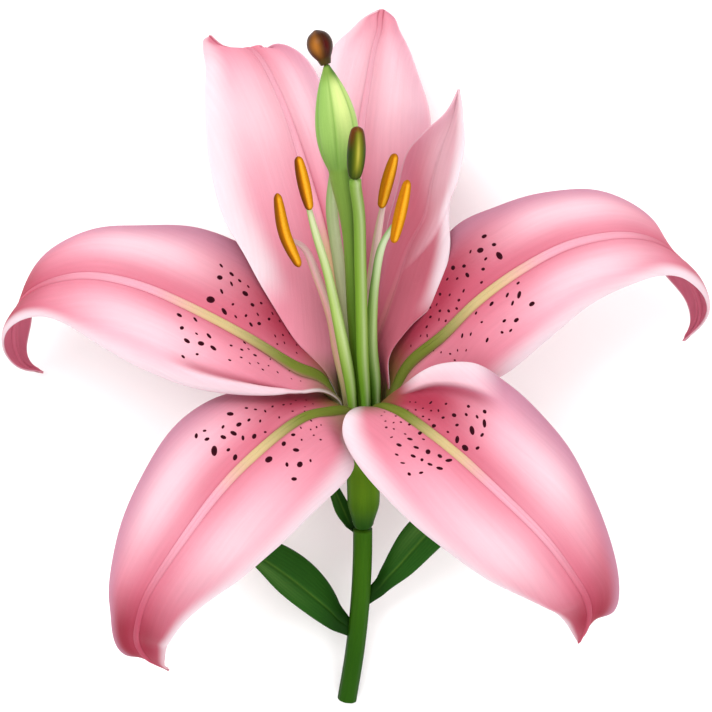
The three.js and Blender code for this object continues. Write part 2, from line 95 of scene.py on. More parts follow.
def spline(points, t):
    """Centripetal Catmull-Rom through the points, read at t from 0 to 1, as the CAD's is."""
    p = np.asarray(points, float)
    p = np.vstack([2 * p[0] - p[1], p, 2 * p[-1] - p[-2]])
    last = len(p) - 4
    at = t * (last + 1)
    i = np.clip(at.astype(int), 0, last)
    w = (at - i)[:, None]
    p0, p1, p2, p3 = p[i], p[i + 1], p[i + 2], p[i + 3]
    d0, d1, d2 = (
        np.maximum(np.sqrt(np.linalg.norm(b - a, axis=1, keepdims=True)), 1e-3)
        for a, b in ((p0, p1), (p1, p2), (p2, p3))
    )
    m1 = ((p1 - p0) / d0 - (p2 - p0) / (d0 + d1) + (p2 - p1) / d1) * d1
    m2 = ((p2 - p1) / d1 - (p3 - p1) / (d1 + d2) + (p3 - p2) / d2) * d1
    c2 = -3 * p1 + 3 * p2 - 2 * m1 - m2
    c3 = 2 * p1 - 2 * p2 + m1 + m2
    return p1 + m1 * w + c2 * w**2 + c3 * w**3


def eased(stops, u):
    """Values that follow a list of (share of the length, value), eased between them."""
    out = np.full(u.shape, float(stops[0][1]))
    for (u0, v0), (u1, v1) in zip(stops, stops[1:]):
        out += (v1 - v0) * ramp(u, u0, u1)
    return out


def smoothed(line, passes):
    """A sampled curve with its small kinks taken out and its ends kept."""
    line = line.copy()
    for _ in range(passes):
        line[1:-1] += 0.25 * (line[:-2] - 2 * line[1:-1] + line[2:])
    return line


def grid_normals(grid):
    return unit(np.cross(np.gradient(grid, axis=0), np.gradient(grid, axis=1)))


def blade_rails(stations, at, passes):
    """A blade's first margin, its rib and its other margin, as smoothed curves."""
    return [smoothed(spline([s[k] for s in stations], at), passes) for k in range(3)]


def blade_grid(a, rib, b, v):
    """A surface over a blade's rails, from -1 at its first margin to 1 at the other."""
    v = v[None, :, None]
    return rib[:, None] + (b - a)[:, None] / 2 * v + ((a + b) / 2 - rib)[:, None] * v**2


def lengths(line):
    """How far along a sampled curve each of its points lies."""
    return np.concatenate([[0], np.cumsum(np.linalg.norm(np.diff(line, axis=0), axis=1))])


def tube_frames(line):
    """Two sets of unit vectors across a sampled curve, which don't twist."""
    along = unit(np.gradient(line, axis=0))
    across = np.empty_like(line)
    across[0] = unit(np.cross(along[0], UP))
    for i in range(1, len(line)):
        across[i] = unit(across[i - 1] - along[i] * np.dot(across[i - 1], along[i]))
    return across, np.cross(along, across)


# ---- meshes ----


def srgb(*colour):
    """A colour as it should look on a screen, from 0 to 255, in the linear values that
    Blender works in, and darker by as much as the set is bright."""
    c = np.array(colour) / 255
    linear = np.where(c <= 0.04045, c / 12.92, ((c + 0.055) / 1.055) ** 2.4)
    return linear / BRIGHTNESS


def mix(a, b, share):
    share = np.asarray(share, float)[..., None]
    return a * (1 - share) + b * share


def coated(colour, *coats):
    """A colour under coats of others, each given with how much of it shows."""
    for coat, share in coats:
        colour = mix(colour, coat, share)
    return colour


def placed(name, data):
    thing = bpy.data.objects.new(name, data)
    bpy.context.scene.collection.objects.link(thing)
    return thing


def mesh_piece(name, points, faces, values):
    """An object from points in millimetres, with a value or a tint at each of them."""
    mesh = bpy.data.meshes.new(name)
    mesh.from_pydata((points * MM).tolist(), [], faces)
    for key, array in values.items():
        if key == "tint":
            attribute = mesh.color_attributes.new("tint", "FLOAT_COLOR", "POINT")
            colours = np.ones((len(points), 4))
            colours[:, :3] = array.reshape(-1, 3)
            attribute.data.foreach_set("color", colours.ravel())
        else:
            attribute = mesh.attributes.new(key, "FLOAT", "POINT")
            attribute.data.foreach_set("value", array.astype(np.float32).ravel())
    mesh.validate()
    mesh.update()
    mesh.shade_smooth()
    return placed(name, mesh)


def faces_between(index):
    """Four-sided faces between rings of points, whose numbers index holds, a ring a row."""
    after = np.roll(index, -1, axis=1)
    quads = np.stack([index[:-1], after[:-1], after[1:], index[1:]], axis=-1)
    return quads.reshape(-1, 4).tolist()


def rings_mesh(name, rings, values, material):
    """A mesh over rings, each an even number of points, with its two ends capped. values holds
    arrays that match the rings: tint has three numbers a point and every other one has one."""
    rows, turns = rings.shape[:2]
    index = np.arange(rows * turns).reshape(rows, turns)
    faces = faces_between(index)
    for row, step in ((index[0].tolist(), -1), (index[-1].tolist(), 1)):
        for j in range(turns // 2 - 1):
            faces.append([row[j], row[j + 1], row[-j - 2], row[-j - 1]][::step])
    piece = mesh_piece(name, rings.reshape(-1, 3), faces, values)
    piece.data.materials.append(material)
    return piece


def wrapped(lower, upper):
    """Two faces of a blade as rings: out along the lower one and back along the upper."""
    return np.concatenate([lower, upper[:, ::-1]], axis=1)


def fitter(node, points):
    """Moves and scales points so that the box of these ones becomes the CAD node's box."""
    flat = points.reshape(-1, 3)
    low, high = flat.min(axis=0), flat.max(axis=0)
    to_low, to_high = (np.array(corner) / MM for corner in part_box(node))
    scale = (to_high - to_low) / (high - low)
    return lambda p: (p - low) * scale + to_low


def keep(piece, slot, *nodes):
    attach(piece, "root")
    if nodes:
        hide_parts(*nodes)
    return piece


# ---- materials ----


class Nodes:
    """A short way to write a material's nodes. An input is a number or another node's output,
    and its name is written with _ for each space."""

    def __init__(self, name):
        self.material = bpy.data.materials.new(name)
        self.material.use_nodes = True
        self.tree = self.material.node_tree

    def feed(self, socket, value):
        if isinstance(value, bpy.types.NodeSocket):
            self.tree.links.new(value, socket)
        else:
            socket.default_value = value

    def feed_all(self, node, inputs):
        for name, value in inputs.items():
            self.feed(node.inputs[name.replace("_", " ")], value)
        return node

    def add(self, kind, operation=None, **inputs):
        node = self.tree.nodes.new("ShaderNode" + kind)
        if operation:
            node.operation = operation
        return self.feed_all(node, inputs)

    def attribute(self, name, output="Fac"):
        node = self.add("Attribute")
        node.attribute_name = name
        return node.outputs[output]

    def place(self):
        return self.add("TexCoord").outputs["Object"]

    def product(self, a, b):
        node = self.add("Math", "MULTIPLY", Value=a)
        self.feed(node.inputs[1], b)
        return node.outputs[0]

    def noise(self, place, scale, detail, roughness=0.55):
        node = self.add("TexNoise", Vector=place, Scale=scale, Detail=detail, Roughness=roughness)
        return node.outputs["Fac"]

    def skin_noise(self, along, across, detail, roughness=0.55):
        """Noise over the skin, with so many grains in a millimetre along and across it."""
        x = self.product(self.attribute("along"), along)
        y = self.product(self.attribute("across"), across)
        place = self.add("CombineXYZ", X=x, Y=y).outputs[0]
        return self.noise(place, 1.0, detail, roughness)

    def between(self, value, low, high):
        return self.add("MapRange", Value=value, To_Min=low, To_Max=high).outputs[0]

    def tinted(self, light):
        """The tint at each point, made lighter or darker by a number."""
        tint = self.attribute("tint", "Color")
        return self.add("VectorMath", "SCALE", Vector=tint, Scale=light).outputs[0]

    def bump(self, height, distance_mm, strength, **after):
        """Bumps by a height, added to those of after's Normal."""
        node = self.add("Bump", Height=height, Distance=distance_mm * MM, Strength=strength, **after)
        return node.outputs[0]

    def finish(self, **inputs):
        self.feed_all(self.tree.nodes["Principled BSDF"], inputs)
        return self.material


def tepal_material():
    """Velvety tissue: fine veins along the tepal, faint mottling and tiny raised cells."""
    n = Nodes("tepal")
    veins = n.skin_noise(0.045, 0.9, 5.0, 0.6)
    blotches = n.skin_noise(0.06, 0.11, 3.0)
    cells = n.skin_noise(1.6, 2.6, 2.0)
    light = n.product(n.between(veins, 0.9, 1.09), n.between(blotches, 0.95, 1.06))
    return n.finish(
        Base_Color=n.tinted(light),
        Roughness=n.between(veins, 0.42, 0.58),
        Normal=n.bump(cells, 0.05, 0.5, Normal=n.bump(veins, 0.12, 0.7)),
        Subsurface_Weight=0.12,
        Subsurface_Radius=(1.0, 0.45, 0.4),
        Subsurface_Scale=0.0015,
        Specular_IOR_Level=0.02,
    )


def spot_material():
    """Dark raised papillae, almost black at the middle and wine red at the rim."""
    n = Nodes("spot")
    grain = n.noise(n.place(), 2500.0, 3.0)
    return n.finish(
        Base_Color=n.tinted(n.between(grain, 0.75, 1.25)),
        Roughness=n.between(grain, 0.5, 0.65),
        Normal=n.bump(grain, 0.05, 0.4),
        Specular_IOR_Level=0.04,
    )


def plant_material(name, line_scale, grain_mm, rough, bump_mm, shine=0.04):
    """Green tissue with fine lines along the piece and small cells between them."""
    n = Nodes(name)
    lines = n.skin_noise(0.05 * line_scale, line_scale, 4.0, 0.6)
    cells = n.skin_noise(0.6 / grain_mm, 1 / grain_mm, 3.0)
    light = n.product(n.between(lines, 0.82, 1.18), n.between(cells, 0.92, 1.08))
    return n.finish(
        Base_Color=n.tinted(light),
        Roughness=n.between(cells, rough - 0.07, rough + 0.07),
        Normal=n.bump(cells, 0.4 * bump_mm, 0.5, Normal=n.bump(lines, bump_mm, 0.8)),
        Specular_IOR_Level=shine,
    )


def pollen_material():
    """Pollen: a fine crumbly grain over the anther's own colour."""
    n = Nodes("pollen")
    place = n.place()
    crumbs = n.add("TexVoronoi", Vector=place, Scale=5200.0).outputs["Distance"]
    dust = n.noise(place, 900.0, 4.0)
    light = n.product(n.between(crumbs, 1.12, 0.8), n.between(dust, 0.88, 1.1))
    return n.finish(
        Base_Color=n.tinted(light),
        Roughness=n.between(dust, 0.5, 0.7),
        Normal=n.bump(dust, 0.12, 0.5, Normal=n.bump(crumbs, -0.09, 0.7)),
        Specular_IOR_Level=0.04,
    )


# ---- tepals ----
# Each tepal's rails from the throat to the tip: the margin towards lower azimuths, the rib and
# the other margin, side by side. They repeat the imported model's, but at the throat the right
# tepal's margin runs on under the next one.
TEPALS = {}
TEPALS["tepal_lower_right"] = dict(azimuth=25.7, over=(1, 1), rails=[
    (-2.5, -15.4, 58), (11.8, -14.8, 57), (15.2, -6.2, 56),
    (-3.4, -21.3, 61), (17.9, -18.5, 63), (23.5, -1.7, 60),
    (2.5, -31.9, 64), (28.6, -26.6, 71), (34.7, -1.7, 63),
    (17.9, -47.9, 67), (39.8, -36.7, 76), (46.5, -9.5, 65),
    (37.5, -61.6, 68), (52.9, -49.8, 77), (61, -26, 65),
    (51.5, -67.8, 65), (61.6, -61.9, 72), (69.4, -44.5, 62),
    (55.6, -70.4, 60.5), (64, -66.3, 66.5), (73.6, -60.5, 57),
    (59, -73.6, 55), (64.8, -69.6, 60.5), (72.2, -70.2, 47.5),
    (60.9, -76.4, 50), (64.2, -73.4, 54), (66.8, -71.8, 45),
    (62.4, -79, 44), (62.6, -79, 44), (62.8, -79, 44),
])
TEPALS["tepal_right"] = dict(azimuth=77.1, over=(-1, 1.2), rails=[
    (15, -8.2, 45), (14.6, -1.8, 43.5), (8.6, 7.6, 37.4),
    (31.9, -8.1, 46), (24.6, 6.4, 48), (17.9, 24.1, 37),
    (41.2, -5, 50), (34.2, 15.7, 51), (27.7, 37.5, 37),
    (53.8, 5.3, 54), (47, 24.9, 54), (40.3, 43.7, 38),
    (65.5, 14.8, 56), (59.9, 31.4, 55), (53.5, 47.3, 38),
    (76.7, 20.4, 55), (72.8, 33.9, 53), (68.3, 47.3, 36),
    (87, 23.5, 47), (83, 32.3, 42), (83.8, 38.8, 28),
    (95.4, 20.8, 38), (91.8, 25.8, 28), (86, 26.5, 18.5),
    (99.4, 15, 25), (97, 16.4, 16), (93.4, 16.4, 11),
    (98.4, 10.4, 13), (96.8, 10.4, 9), (94.8, 10.4, 6),
    (93.1, 4.9, 2.6), (93, 4.9, 2.4), (92.9, 4.9, 2.2),
])
TEPALS["tepal_upper_right"] = dict(azimuth=128.6, over=(1, 1), rails=[
    (8.6, 0, 46.3), (6, 2.5, 40.5), (3.6, 5, 41),
    (15.1, 8.7, 46), (8.4, 11.8, 43), (5, 14.3, 43),
    (22.7, 16, 47), (11.5, 20.7, 43), (6.7, 25.5, 44),
    (26.6, 30, 46), (15.1, 31.1, 42), (9, 36.7, 44),
    (26.3, 41.4, 43), (19.3, 39.5, 41), (11.8, 47.9, 43),
    (29.4, 50.4, 45), (21.3, 48.2, 39), (14.8, 58.2, 42),
    (31.1, 60.5, 43), (24.1, 57.1, 37), (19.9, 63.3, 40),
    (30.4, 69.4, 39), (27.7, 66.4, 36), (26, 68.9, 38),
    (29.6, 75, 36.2), (29.4, 75, 36), (29.2, 75, 36.2),
])
TEPALS["tepal_top"] = dict(azimuth=180, over=(-1, -1), rails=[
    (6, 1.5, 36), (1.6, 1.5, 34), (-2.5, 1.5, 34.5),
    (8.1, 15.7, 35), (0.6, 15.7, 33), (-4.5, 15.7, 34),
    (13.7, 33.9, 34), (0.3, 32.5, 30), (-6.4, 32.5, 31),
    (19.3, 50.7, 32), (1.1, 49.3, 26), (-7.3, 49.3, 28),
    (21.3, 64.7, 28), (2, 64.7, 20), (-8.4, 66, 24),
    (19.9, 73.1, 24), (3.9, 77.3, 13), (-8.7, 77.3, 18),
    (15.7, 85.1, 16), (5.6, 87.1, 6.5), (-6.2, 87.1, 12),
    (12.6, 92, 9), (6.9, 92.4, 2.8), (-1.4, 92.4, 7.5),
    (11.2, 96, 4.6), (7.2, 96.8, 1.5), (2.2, 96, 3.6),
    (8, 98.5, 1.4), (7.6, 98.5, 1.2), (7.2, 98.5, 1.3),
])
TEPALS["tepal_upper_left"] = dict(azimuth=231.4, over=(1, 1), rails=[
    (-1.1, 1.7, 40), (-3.4, 0.5, 40.5), (-8.7, 0.3, 44),
    (-1.7, 18.5, 42), (-5.9, 15.7, 41), (-20.2, 11.8, 50),
    (-3.1, 36.7, 41), (-9.5, 35.3, 37), (-30, 28, 50),
    (-5.3, 52.1, 38), (-13.4, 50.7, 31), (-37.5, 42.3, 44),
    (-7.3, 67.5, 33), (-17.6, 64.7, 24), (-41.2, 60.2, 36),
    (-9.5, 77.3, 27), (-21.8, 75.3, 17), (-42, 71.7, 28),
    (-14, 85, 19), (-25.8, 82.9, 9.5), (-41.7, 81.5, 19),
    (-21.5, 88.4, 10), (-29.6, 86.6, 3.6), (-42.4, 85.6, 12.5),
    (-27.4, 86, 5), (-33, 86.4, 2.2), (-42.9, 88, 8),
    (-36.8, 87.8, 2.2), (-38.6, 88.4, 1.5), (-43, 90, 4.4),
    (-40.9, 91.2, 1.5), (-41.1, 91.3, 1.4), (-41.3, 91.2, 1.5),
])
TEPALS["tepal_left"] = dict(azimuth=282.9, over=(-1, 1), rails=[
    (-7.2, 2.6, 38.4), (-9.5, -5.2, 46), (-8.5, -8.9, 52),
    (-15.5, 13.5, 39.5), (-16.4, -2.2, 50), (-16.8, -10, 56),
    (-26.5, 29.5, 39), (-29, 5.2, 55), (-29.7, -10.1, 60),
    (-42.5, 37, 39.5), (-45, 13.6, 57), (-45, -8.1, 61),
    (-61, 37.9, 40), (-60.5, 20.2, 57), (-59, -3.1, 60),
    (-73, 36.7, 37), (-73.9, 22.7, 55), (-71.7, 4.2, 59),
    (-83.4, 31.9, 30), (-84.3, 21, 46), (-82.9, 10.9, 53),
    (-89.3, 25.5, 23), (-91.4, 17, 36), (-91.8, 12, 45),
    (-91.4, 11, 14), (-95.4, 10, 23), (-98, 7.5, 32),
    (-93, 3.4, 6), (-95.6, 3, 12), (-98.6, 2, 19),
    (-91.7, -1, 3.6), (-93.2, -1.9, 6), (-94.7, -2.7, 9),
    (-88.3, -3.9, 2.2), (-88.2, -3.9, 2.4), (-88.1, -3.9, 2.6),
])
TEPALS["tepal_lower_left"] = dict(azimuth=334.3, over=(-1.3, -1), rails=[
    (-10.6, -7.6, 38), (-7.6, -14.2, 52), (-2.6, -22.1, 50),
    (-20.5, -7.9, 42), (-14.3, -16, 58), (0.3, -29.4, 56),
    (-38.8, -9.4, 49), (-26.9, -25.5, 69), (-8.7, -40.3, 61),
    (-53.5, -20.7, 58), (-37.5, -36.1, 75), (-21, -52.1, 64),
    (-65.5, -45.4, 60), (-49.3, -52.1, 77), (-33.9, -62.7, 65),
    (-68.7, -63.2, 56), (-57.4, -64.7, 71), (-45.9, -71.7, 61),
    (-68.5, -71, 49), (-59.9, -72.5, 63), (-51.2, -78.1, 55),
    (-66.8, -79.8, 41), (-60.6, -77.8, 51.5), (-52.4, -79.8, 49),
    (-64.2, -82.4, 38), (-59.4, -80.6, 47), (-53, -82.8, 45.5),
    (-60.4, -82.6, 37), (-57, -83.6, 41.5), (-53.2, -85.3, 41.5),
    (-52.2, -86.8, 37.6), (-52.1, -86.8, 37.8), (-52, -86.8, 38),
])
ROWS, COLUMNS = 210, 120
TEPAL_BACK, LEAF_BACK = 97, 40  # how far across the grain of a back lies from its face's

# How each tepal's inner face looks, with its painted light and shade. away: the half that
# turns away from the light, -1 or 1. lit: the share of the length where its painted highlight
# is palest, with long and broad for how far that spreads. throat: how strong the rose is
# there, from rose_to down: its own rose, deepened by painted shade on the half turned away.
# tip: how strong the painted shade of deep rose is there, from tip_from up. light_from: where
# its own pale margin starts on the half towards the light. shade: how dark the painted shade
# on its other margin is. lip: a turned-up margin, as its half, where it runs and how far out
# it starts; it is painted light, with its own pale margin at its rim and painted shade under
# it. rib: how strong its rib is, with the painted shade in its channel and grooves. dusty: a
# dusty rose blade, partly painted shade, with a slanting fold and painted light just past it.
# skirt: how much broader each margin is at the throat.
LOOKS = {
    "tepal_lower_right": dict(
        away=1, lit=0.56, long=0.16, broad=0.36, rose_to=0.44, tip=1.05,
        lip=(1, 0.12, 0.42, 0.76),
    ),
    "tepal_right": dict(
        away=1, lit=0.51, rose_to=0.46, tip=0.95, tip_from=0.52, light_from=0.3
    ),
    "tepal_upper_right": dict(
        away=1, dusty=True, light_from=0.42, rib=0.1, shade=0.25, skirt=(0.5, 0),
    ),
    "tepal_top": dict(
        away=-1, lit=0.8, long=0.18, broad=1.5, throat=0.4, rose_to=0.5, tip=0.8,
        tip_from=0.86, shade=0.3, rib=0.8,
    ),
    "tepal_upper_left": dict(
        away=-1, lit=0.7, long=0.14, broad=1.5, throat=0.45, rose_to=0.55, tip=0.7,
        tip_from=0.78, shade=0.5, rib=0.85, light_from=0.34, skirt=(0, 0.5),
    ),
    "tepal_left": dict(
        away=-1, lit=0.47, rose_to=0.42, tip=1.1, tip_from=0.5,
        lip=(1, 0.13, 0.44, 0.78), skirt=(0.6, 0),
    ),
    "tepal_lower_left": dict(
        away=-1, lit=0.5, long=0.15, broad=0.36, rose_to=0.38, tip=1.05, tip_from=0.52
    ),
}

# Where spots lie on the inner face: out to these shares of the length and of the half width,
# on the first and the second margin's half.
SPOTTED = {
    "tepal_left": dict(seed=3, ends=(0.35, 0.41), reach=(0.62, 0.66), count=54),
    "tepal_right": dict(seed=8, ends=(0.4, 0.37), reach=(0.62, 0.62), count=50),
    "tepal_lower_left": dict(seed=5, ends=(0.4, 0.33), reach=(0.66, 0.6), count=46),
    "tepal_lower_right": dict(seed=12, ends=(0.36, 0.39), reach=(0.66, 0.62), count=56),
}

PINK = srgb(246, 160, 180)
PALE = srgb(253, 208, 219)
ROSE = srgb(203, 84, 108)
DEEP = srgb(154, 30, 54)
SHADE = srgb(198, 138, 162)
MARGIN = srgb(250, 230, 238)
DUSTY = srgb(200, 104, 122)
LILAC = srgb(234, 182, 194)
CREAM = srgb(220, 196, 140)
GREEN = srgb(112, 132, 40)
THROAT = srgb(92, 108, 34)
BACK = srgb(226, 126, 152)
SPOT_MIDDLE = srgb(44, 4, 16)
SPOT_RIM = srgb(92, 14, 36)

# Heights in millimetres on a tepal's inner face, and shares of its width.
HUMP_SHARE, CURL_SHARE = 0.055, 0.02
RUFFLE, RIB_HEIGHT, GROOVE, LIP_HEIGHT, FOLD_HEIGHT = 0.22, 0.8, 0.45, 1.6, 0.7
RIB_HALF = 1.1
FOOT_THICK, BLADE_THICK, RIB_THICK = 1.9, 0.95, 0.7


def claw(azimuth, along, out, width, tuck):
    """The rails' points on a tepal's narrow foot. tuck moves each margin inward."""
    across = around(azimuth + 90) * (CLAW_WIDTH * width / 2)
    rib = flower_point(along, out, azimuth)
    inward = -around(azimuth)
    return [rib - across + inward * tuck[0], rib, rib + across + inward * tuck[1]]


def tepal_stations(azimuth, over, rails):
    claws = [
        claw(azimuth, 1.3 * GAP, TEPAL_RING, 0.8, (0, 0)),
        claw(azimuth, 5, TEPAL_RING + 0.4, 0.75, [0.6 * o for o in over]),
        claw(azimuth, 10, TEPAL_RING + 1.5, 1.2, [1.85 * o for o in over]),
    ]
    return np.concatenate([claws, np.array(rails).reshape(-1, 3, 3)])


class Tepal:
    """One tepal's middle surface and its inner and outer skins, as grids of points."""

    def __init__(self, name):
        self.name = name
        self.look = LOOKS[name]
        self.ribbing = self.look.get("rib", 1.0)
        stations = tepal_stations(**TEPALS[name])
        a, rib, b = blade_rails(stations, np.linspace(0, 1, ROWS + 1), 12)
        self.length = lengths(rib)
        self.share = self.length / self.length[-1]
        self.s = self.share[:, None]
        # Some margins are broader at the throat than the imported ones, to lie under the next
        # tepal's.
        foot = bell(self.s, 0.13, 0.07)
        skirt = self.look.get("skirt", (0, 0))
        a, b = a + (a - rib) * foot * skirt[0], b + (b - rib) * foot * skirt[1]
        steps = np.linspace(-1, 1, COLUMNS + 1)
        # Columns crowd at the rib and the margins, where the shape is fine.
        self.v = steps - 0.6 * np.sin(2 * np.pi * steps) / (2 * np.pi)
        self.out = np.abs(self.v)[None]
        base = blade_grid(a, rib, b, self.v)
        self.width = np.linalg.norm(b - a, axis=1)
        half_a, half_b = (np.linalg.norm(rail - rib, axis=1)[:, None] for rail in (a, b))
        self.across = self.v[None] * np.where(self.v[None] < 0, half_a, half_b)
        self.off_rib = np.abs(self.across)
        self.along = np.repeat(self.length[:, None], COLUMNS + 1, axis=1)
        normals = grid_normals(base)
        self.fit = fitter(name, np.stack([base + normals, base - normals]))
        self.middle = base + normals * self.relief()[..., None]
        self.normals = grid_normals(self.middle)

    def rib_band(self):
        """1 on the raised band along the rib and 0 off it, and the band's half width."""
        half = RIB_HALF * (1 - 0.4 * ramp(self.s, 0.25, 0.8))
        return ramp(self.off_rib, 1.15 * half, 0.7 * half), half

    def lip(self):
        """How far each point lies out on the turned-up margin, and the line where it starts."""
        if "lip" not in self.look:
            return 0 * self.across, 0 * self.across
        side, start, end, out = self.look["lip"]
        s, v = self.s, self.v[None] * side
        there = ramp(s, start, start + 0.07) * ramp(s, end, end - 0.1)
        return ramp(v, out - 0.02, out + 0.03) * there, bell(v, out - 0.06, 0.07) * there

    def relief(self):
        """How far the middle surface stands off the plain one, towards the inner face."""
        s, v, x = self.s, self.out, self.off_rib
        width = self.width[:, None]
        open_part = ramp(s, 0.1, 0.3) * ramp(s, 1, 0.9)
        hump = HUMP_SHARE * width * (4 * v * (1 - v)) ** 0.8 * open_part
        phase = sum(map(ord, self.name))  # each tepal's margins wave in their own way
        sway = np.sin(2 * np.pi * (3.1 * s + 0.13 * phase) + np.sign(self.v)[None])
        sway = sway + 0.5 * np.sin(2 * np.pi * (7.3 * s + 0.31 * phase))
        ruffle = RUFFLE * sway * v**5 * open_part
        curl = CURL_SHARE * width * v**8 * open_part
        band, half = self.rib_band()
        fade = ramp(s, 0.03, 0.12) * ramp(s, 1, 0.94) * self.ribbing
        ridge = band * (1 - 0.55 * np.clip(x / half, 0, 1) ** 2)
        grooves = GROOVE * bell(x, 1.45 * half, 0.5 * half)
        rib = (RIB_HEIGHT * (1 - 0.4 * s) * ridge - grooves) * fade
        lip, under = self.lip()
        shape = hump + ruffle - curl + rib + LIP_HEIGHT * lip - under
        if "dusty" in self.look:
            shape = shape + FOLD_HEIGHT * self.past_fold() * ramp(-self.v[None], -0.1, 0.5)
        return shape

    def thickness(self):
        s, v = self.s, self.out
        foot = FOOT_THICK * (1 - 0.4 * v**2)
        blade = BLADE_THICK + RIB_THICK * bell(self.across, 0, 3.0)
        body = foot + (blade - foot) * ramp(s, 0.02, 0.2)
        rounded = np.sqrt(np.clip(1 - v**14, 0, 1))
        return body * (0.12 + 0.88 * rounded) * (1 - 0.6 * ramp(s, 0.9, 1))

    def skin(self, side):
        """The inner face, side 1, or the outer one, side -1."""
        return self.middle + self.normals * (side * self.thickness() / 2)[..., None]

    def inner_tint(self):
        """The inner face's colours, from the ones that cover most of it to the lip's."""
        look, s, v = self.look, self.s, self.out
        away = ramp(self.v[None] * look["away"], -0.2, 0.4) + 0 * s
        colour = self.dusty() if "dusty" in look else self.rosy(away)
        # painted shade on the margin of the half turned away from the light
        shade = look.get("shade", 0.9) * away * ramp(v, 0.5, 0.95) * ramp(s, 0.1, 0.3)
        begin = look.get("light_from", 0.1)
        # the margin's own pale colour, on the half towards the light
        light = (1 - away) * ramp(v, 0.66, 0.95) * ramp(s, begin - 0.08, begin + 0.04)
        light = light * (1 - 0.5 * ramp(s, 0.75, 1))
        rim = ramp(v, 0.97, 1) * ramp(s, 0.22, 0.4) * (1 - 0.5 * s)
        colour = coated(colour, (SHADE, shade), (MARGIN, 0.92 * light), (MARGIN, 0.5 * rim))
        lip, under = self.lip()
        lip_rim = ramp(self.v[None] * look.get("lip", (1,))[0], 0.8, 0.97)
        return coated(
            self.ribbed(colour),
            # painted shade under the turned-up lip
            (DEEP, 0.5 * under),
            # painted light on the lip, with its own pale margin at its rim
            (mix(PALE, MARGIN, lip_rim), 0.85 * lip),
            (THROAT, 0.85 * ramp(s, 0.17, 0.06) * (1 - 0.8 * lip)),
        )

    def rosy(self, away):
        """A pink blade, pale at its middle with a painted highlight, and deep rose at its throat, its
        tip and by its rib: at the throat its own rose, deepened by painted shade on the half turned
        away from the light; at the tip and in the channel by the rib, painted shade.
        """
        look, s, v = self.look, self.s, self.out
        # painted highlight: pale across the middle of each half
        pale = bell(s, look["lit"], look.get("long", 0.13)) * bell(v, 0.5, look.get("broad", 0.3))
        # the throat's own rose, stronger and deeper on the half turned away from the light as painted
        # shade
        throat = ramp(s, look["rose_to"], look["rose_to"] - 0.22)
        throat = throat * look.get("throat", 1) * (0.42 + 0.58 * away)
        # painted shade: deep rose where the tip curls away from the light, weaker at the near margin
        start = look.get("tip_from", 0.57)
        tip = 0.6 * ramp(s, start, start + 0.2) + 0.4 * ramp(s, start + 0.12, start + 0.3)
        tip = look["tip"] * tip * (1 - 0.3 * v * (1 - 0.5 * away))
        # painted shade in the channel beside the rib, darker on the half turned away from the light
        channel_shade = bell(v, 0.08, 0.22) * ramp(s, 0.18, 0.3) * self.ribbing
        channel_shade = channel_shade * (1 - 0.4 * ramp(s, 0.4, 0.6))
        return coated(
            PINK,
            (PALE, 0.95 * pale),
            (mix(ROSE, DEEP, 0.5 * away), throat),
            (mix(ROSE, DEEP, ramp(tip, 0.4, 1)), np.clip(tip, 0, 1)),
            (ROSE, (0.45 + 0.35 * away) * channel_shade),
        )

    def dusty(self):
        """A dusty rose blade, partly painted shade, that fades to lilac at its tip, with a band of
        painted light on the raised blade just past a slanting fold.
        """
        v = self.v[None]
        colour = mix(DUSTY, LILAC, ramp(self.s - 0.12 * v, 0.56, 0.84))
        # painted light: lilac on the blade where it rises just past the fold
        return mix(colour, LILAC, 0.75 * self.past_fold() * ramp(-v, -0.1, 0.8))

    def past_fold(self):
        """How far past the fold each point is: 1 just past it, fading on towards the tip."""
        past = self.s - (0.42 - 0.2 * self.v[None])
        return ramp(past, 0, 0.02) * (1 - 0.7 * ramp(past, 0.02, 0.2))

    def ribbed(self, colour):
        """The rib's band over a colour: green, then cream, then pink that turns rose as painted shade
        towards the tip, between two dark lines of painted shade in the grooves beside it.
        """
        s = self.s + 0 * self.across
        band, half = self.rib_band()
        # painted shade in the grooves beside the rib: olive at the throat, rose and deep rose further
        # out
        line = bell(self.off_rib, 1.4 * half, 0.55 * half) * self.ribbing
        groove_shade = mix(ROSE, DEEP, ramp(s, 0.35, 0.7))
        dark = mix(srgb(96, 92, 24), groove_shade, ramp(s, 0.2, 0.34))
        colour = mix(colour, dark, 0.8 * line * ramp(s, 0.05, 0.12))
        tip_from = self.look.get("tip_from", 0.57)
        rib = coated(
            srgb(246, 172, 189),
            # painted shade: rose towards the tip, as on the blade
            (ROSE, 0.95 * ramp(s, tip_from, tip_from + 0.24)),
            (CREAM, ramp(s, 0.46, 0.32)),
            (GREEN, ramp(s, 0.33, 0.17)),
        )
        shown = 0.95 * band * ramp(s, 0.02, 0.1) * (1 - 0.35 * ramp(s, 0.7, 0.9))
        return mix(colour, rib, shown * self.ribbing)

    def outer_tint(self):
        v = self.out
        s = self.s + 0 * v
        return coated(
            BACK,
            (PALE, 0.3 * ramp(v, 0.3, 0.9) * ramp(s, 0.8, 0.6)),
            (ROSE, 0.35 * ramp(s, 0.62, 0.82) + 0.15 * bell(v, 0, 0.5)),
            (GREEN, 0.75 * bell(self.off_rib, 0, 2.2) * ramp(s, 0.6, 0.2)),
            (THROAT, 0.85 * ramp(s, 0.22, 0.06)),
            (MARGIN, 0.5 * ramp(v, 0.95, 1)),
        )

    def build(self, material):
        rings = self.fit(wrapped(self.skin(-1), self.skin(1)))
        values = {
            "tint": wrapped(self.outer_tint(), self.inner_tint()),
            "along": wrapped(self.along, self.along),
            "across": wrapped(self.across + TEPAL_BACK, self.across),
        }
        piece = rings_mesh(self.name + "_petal", rings, values, material)
        return keep(piece, "tepal", self.name)

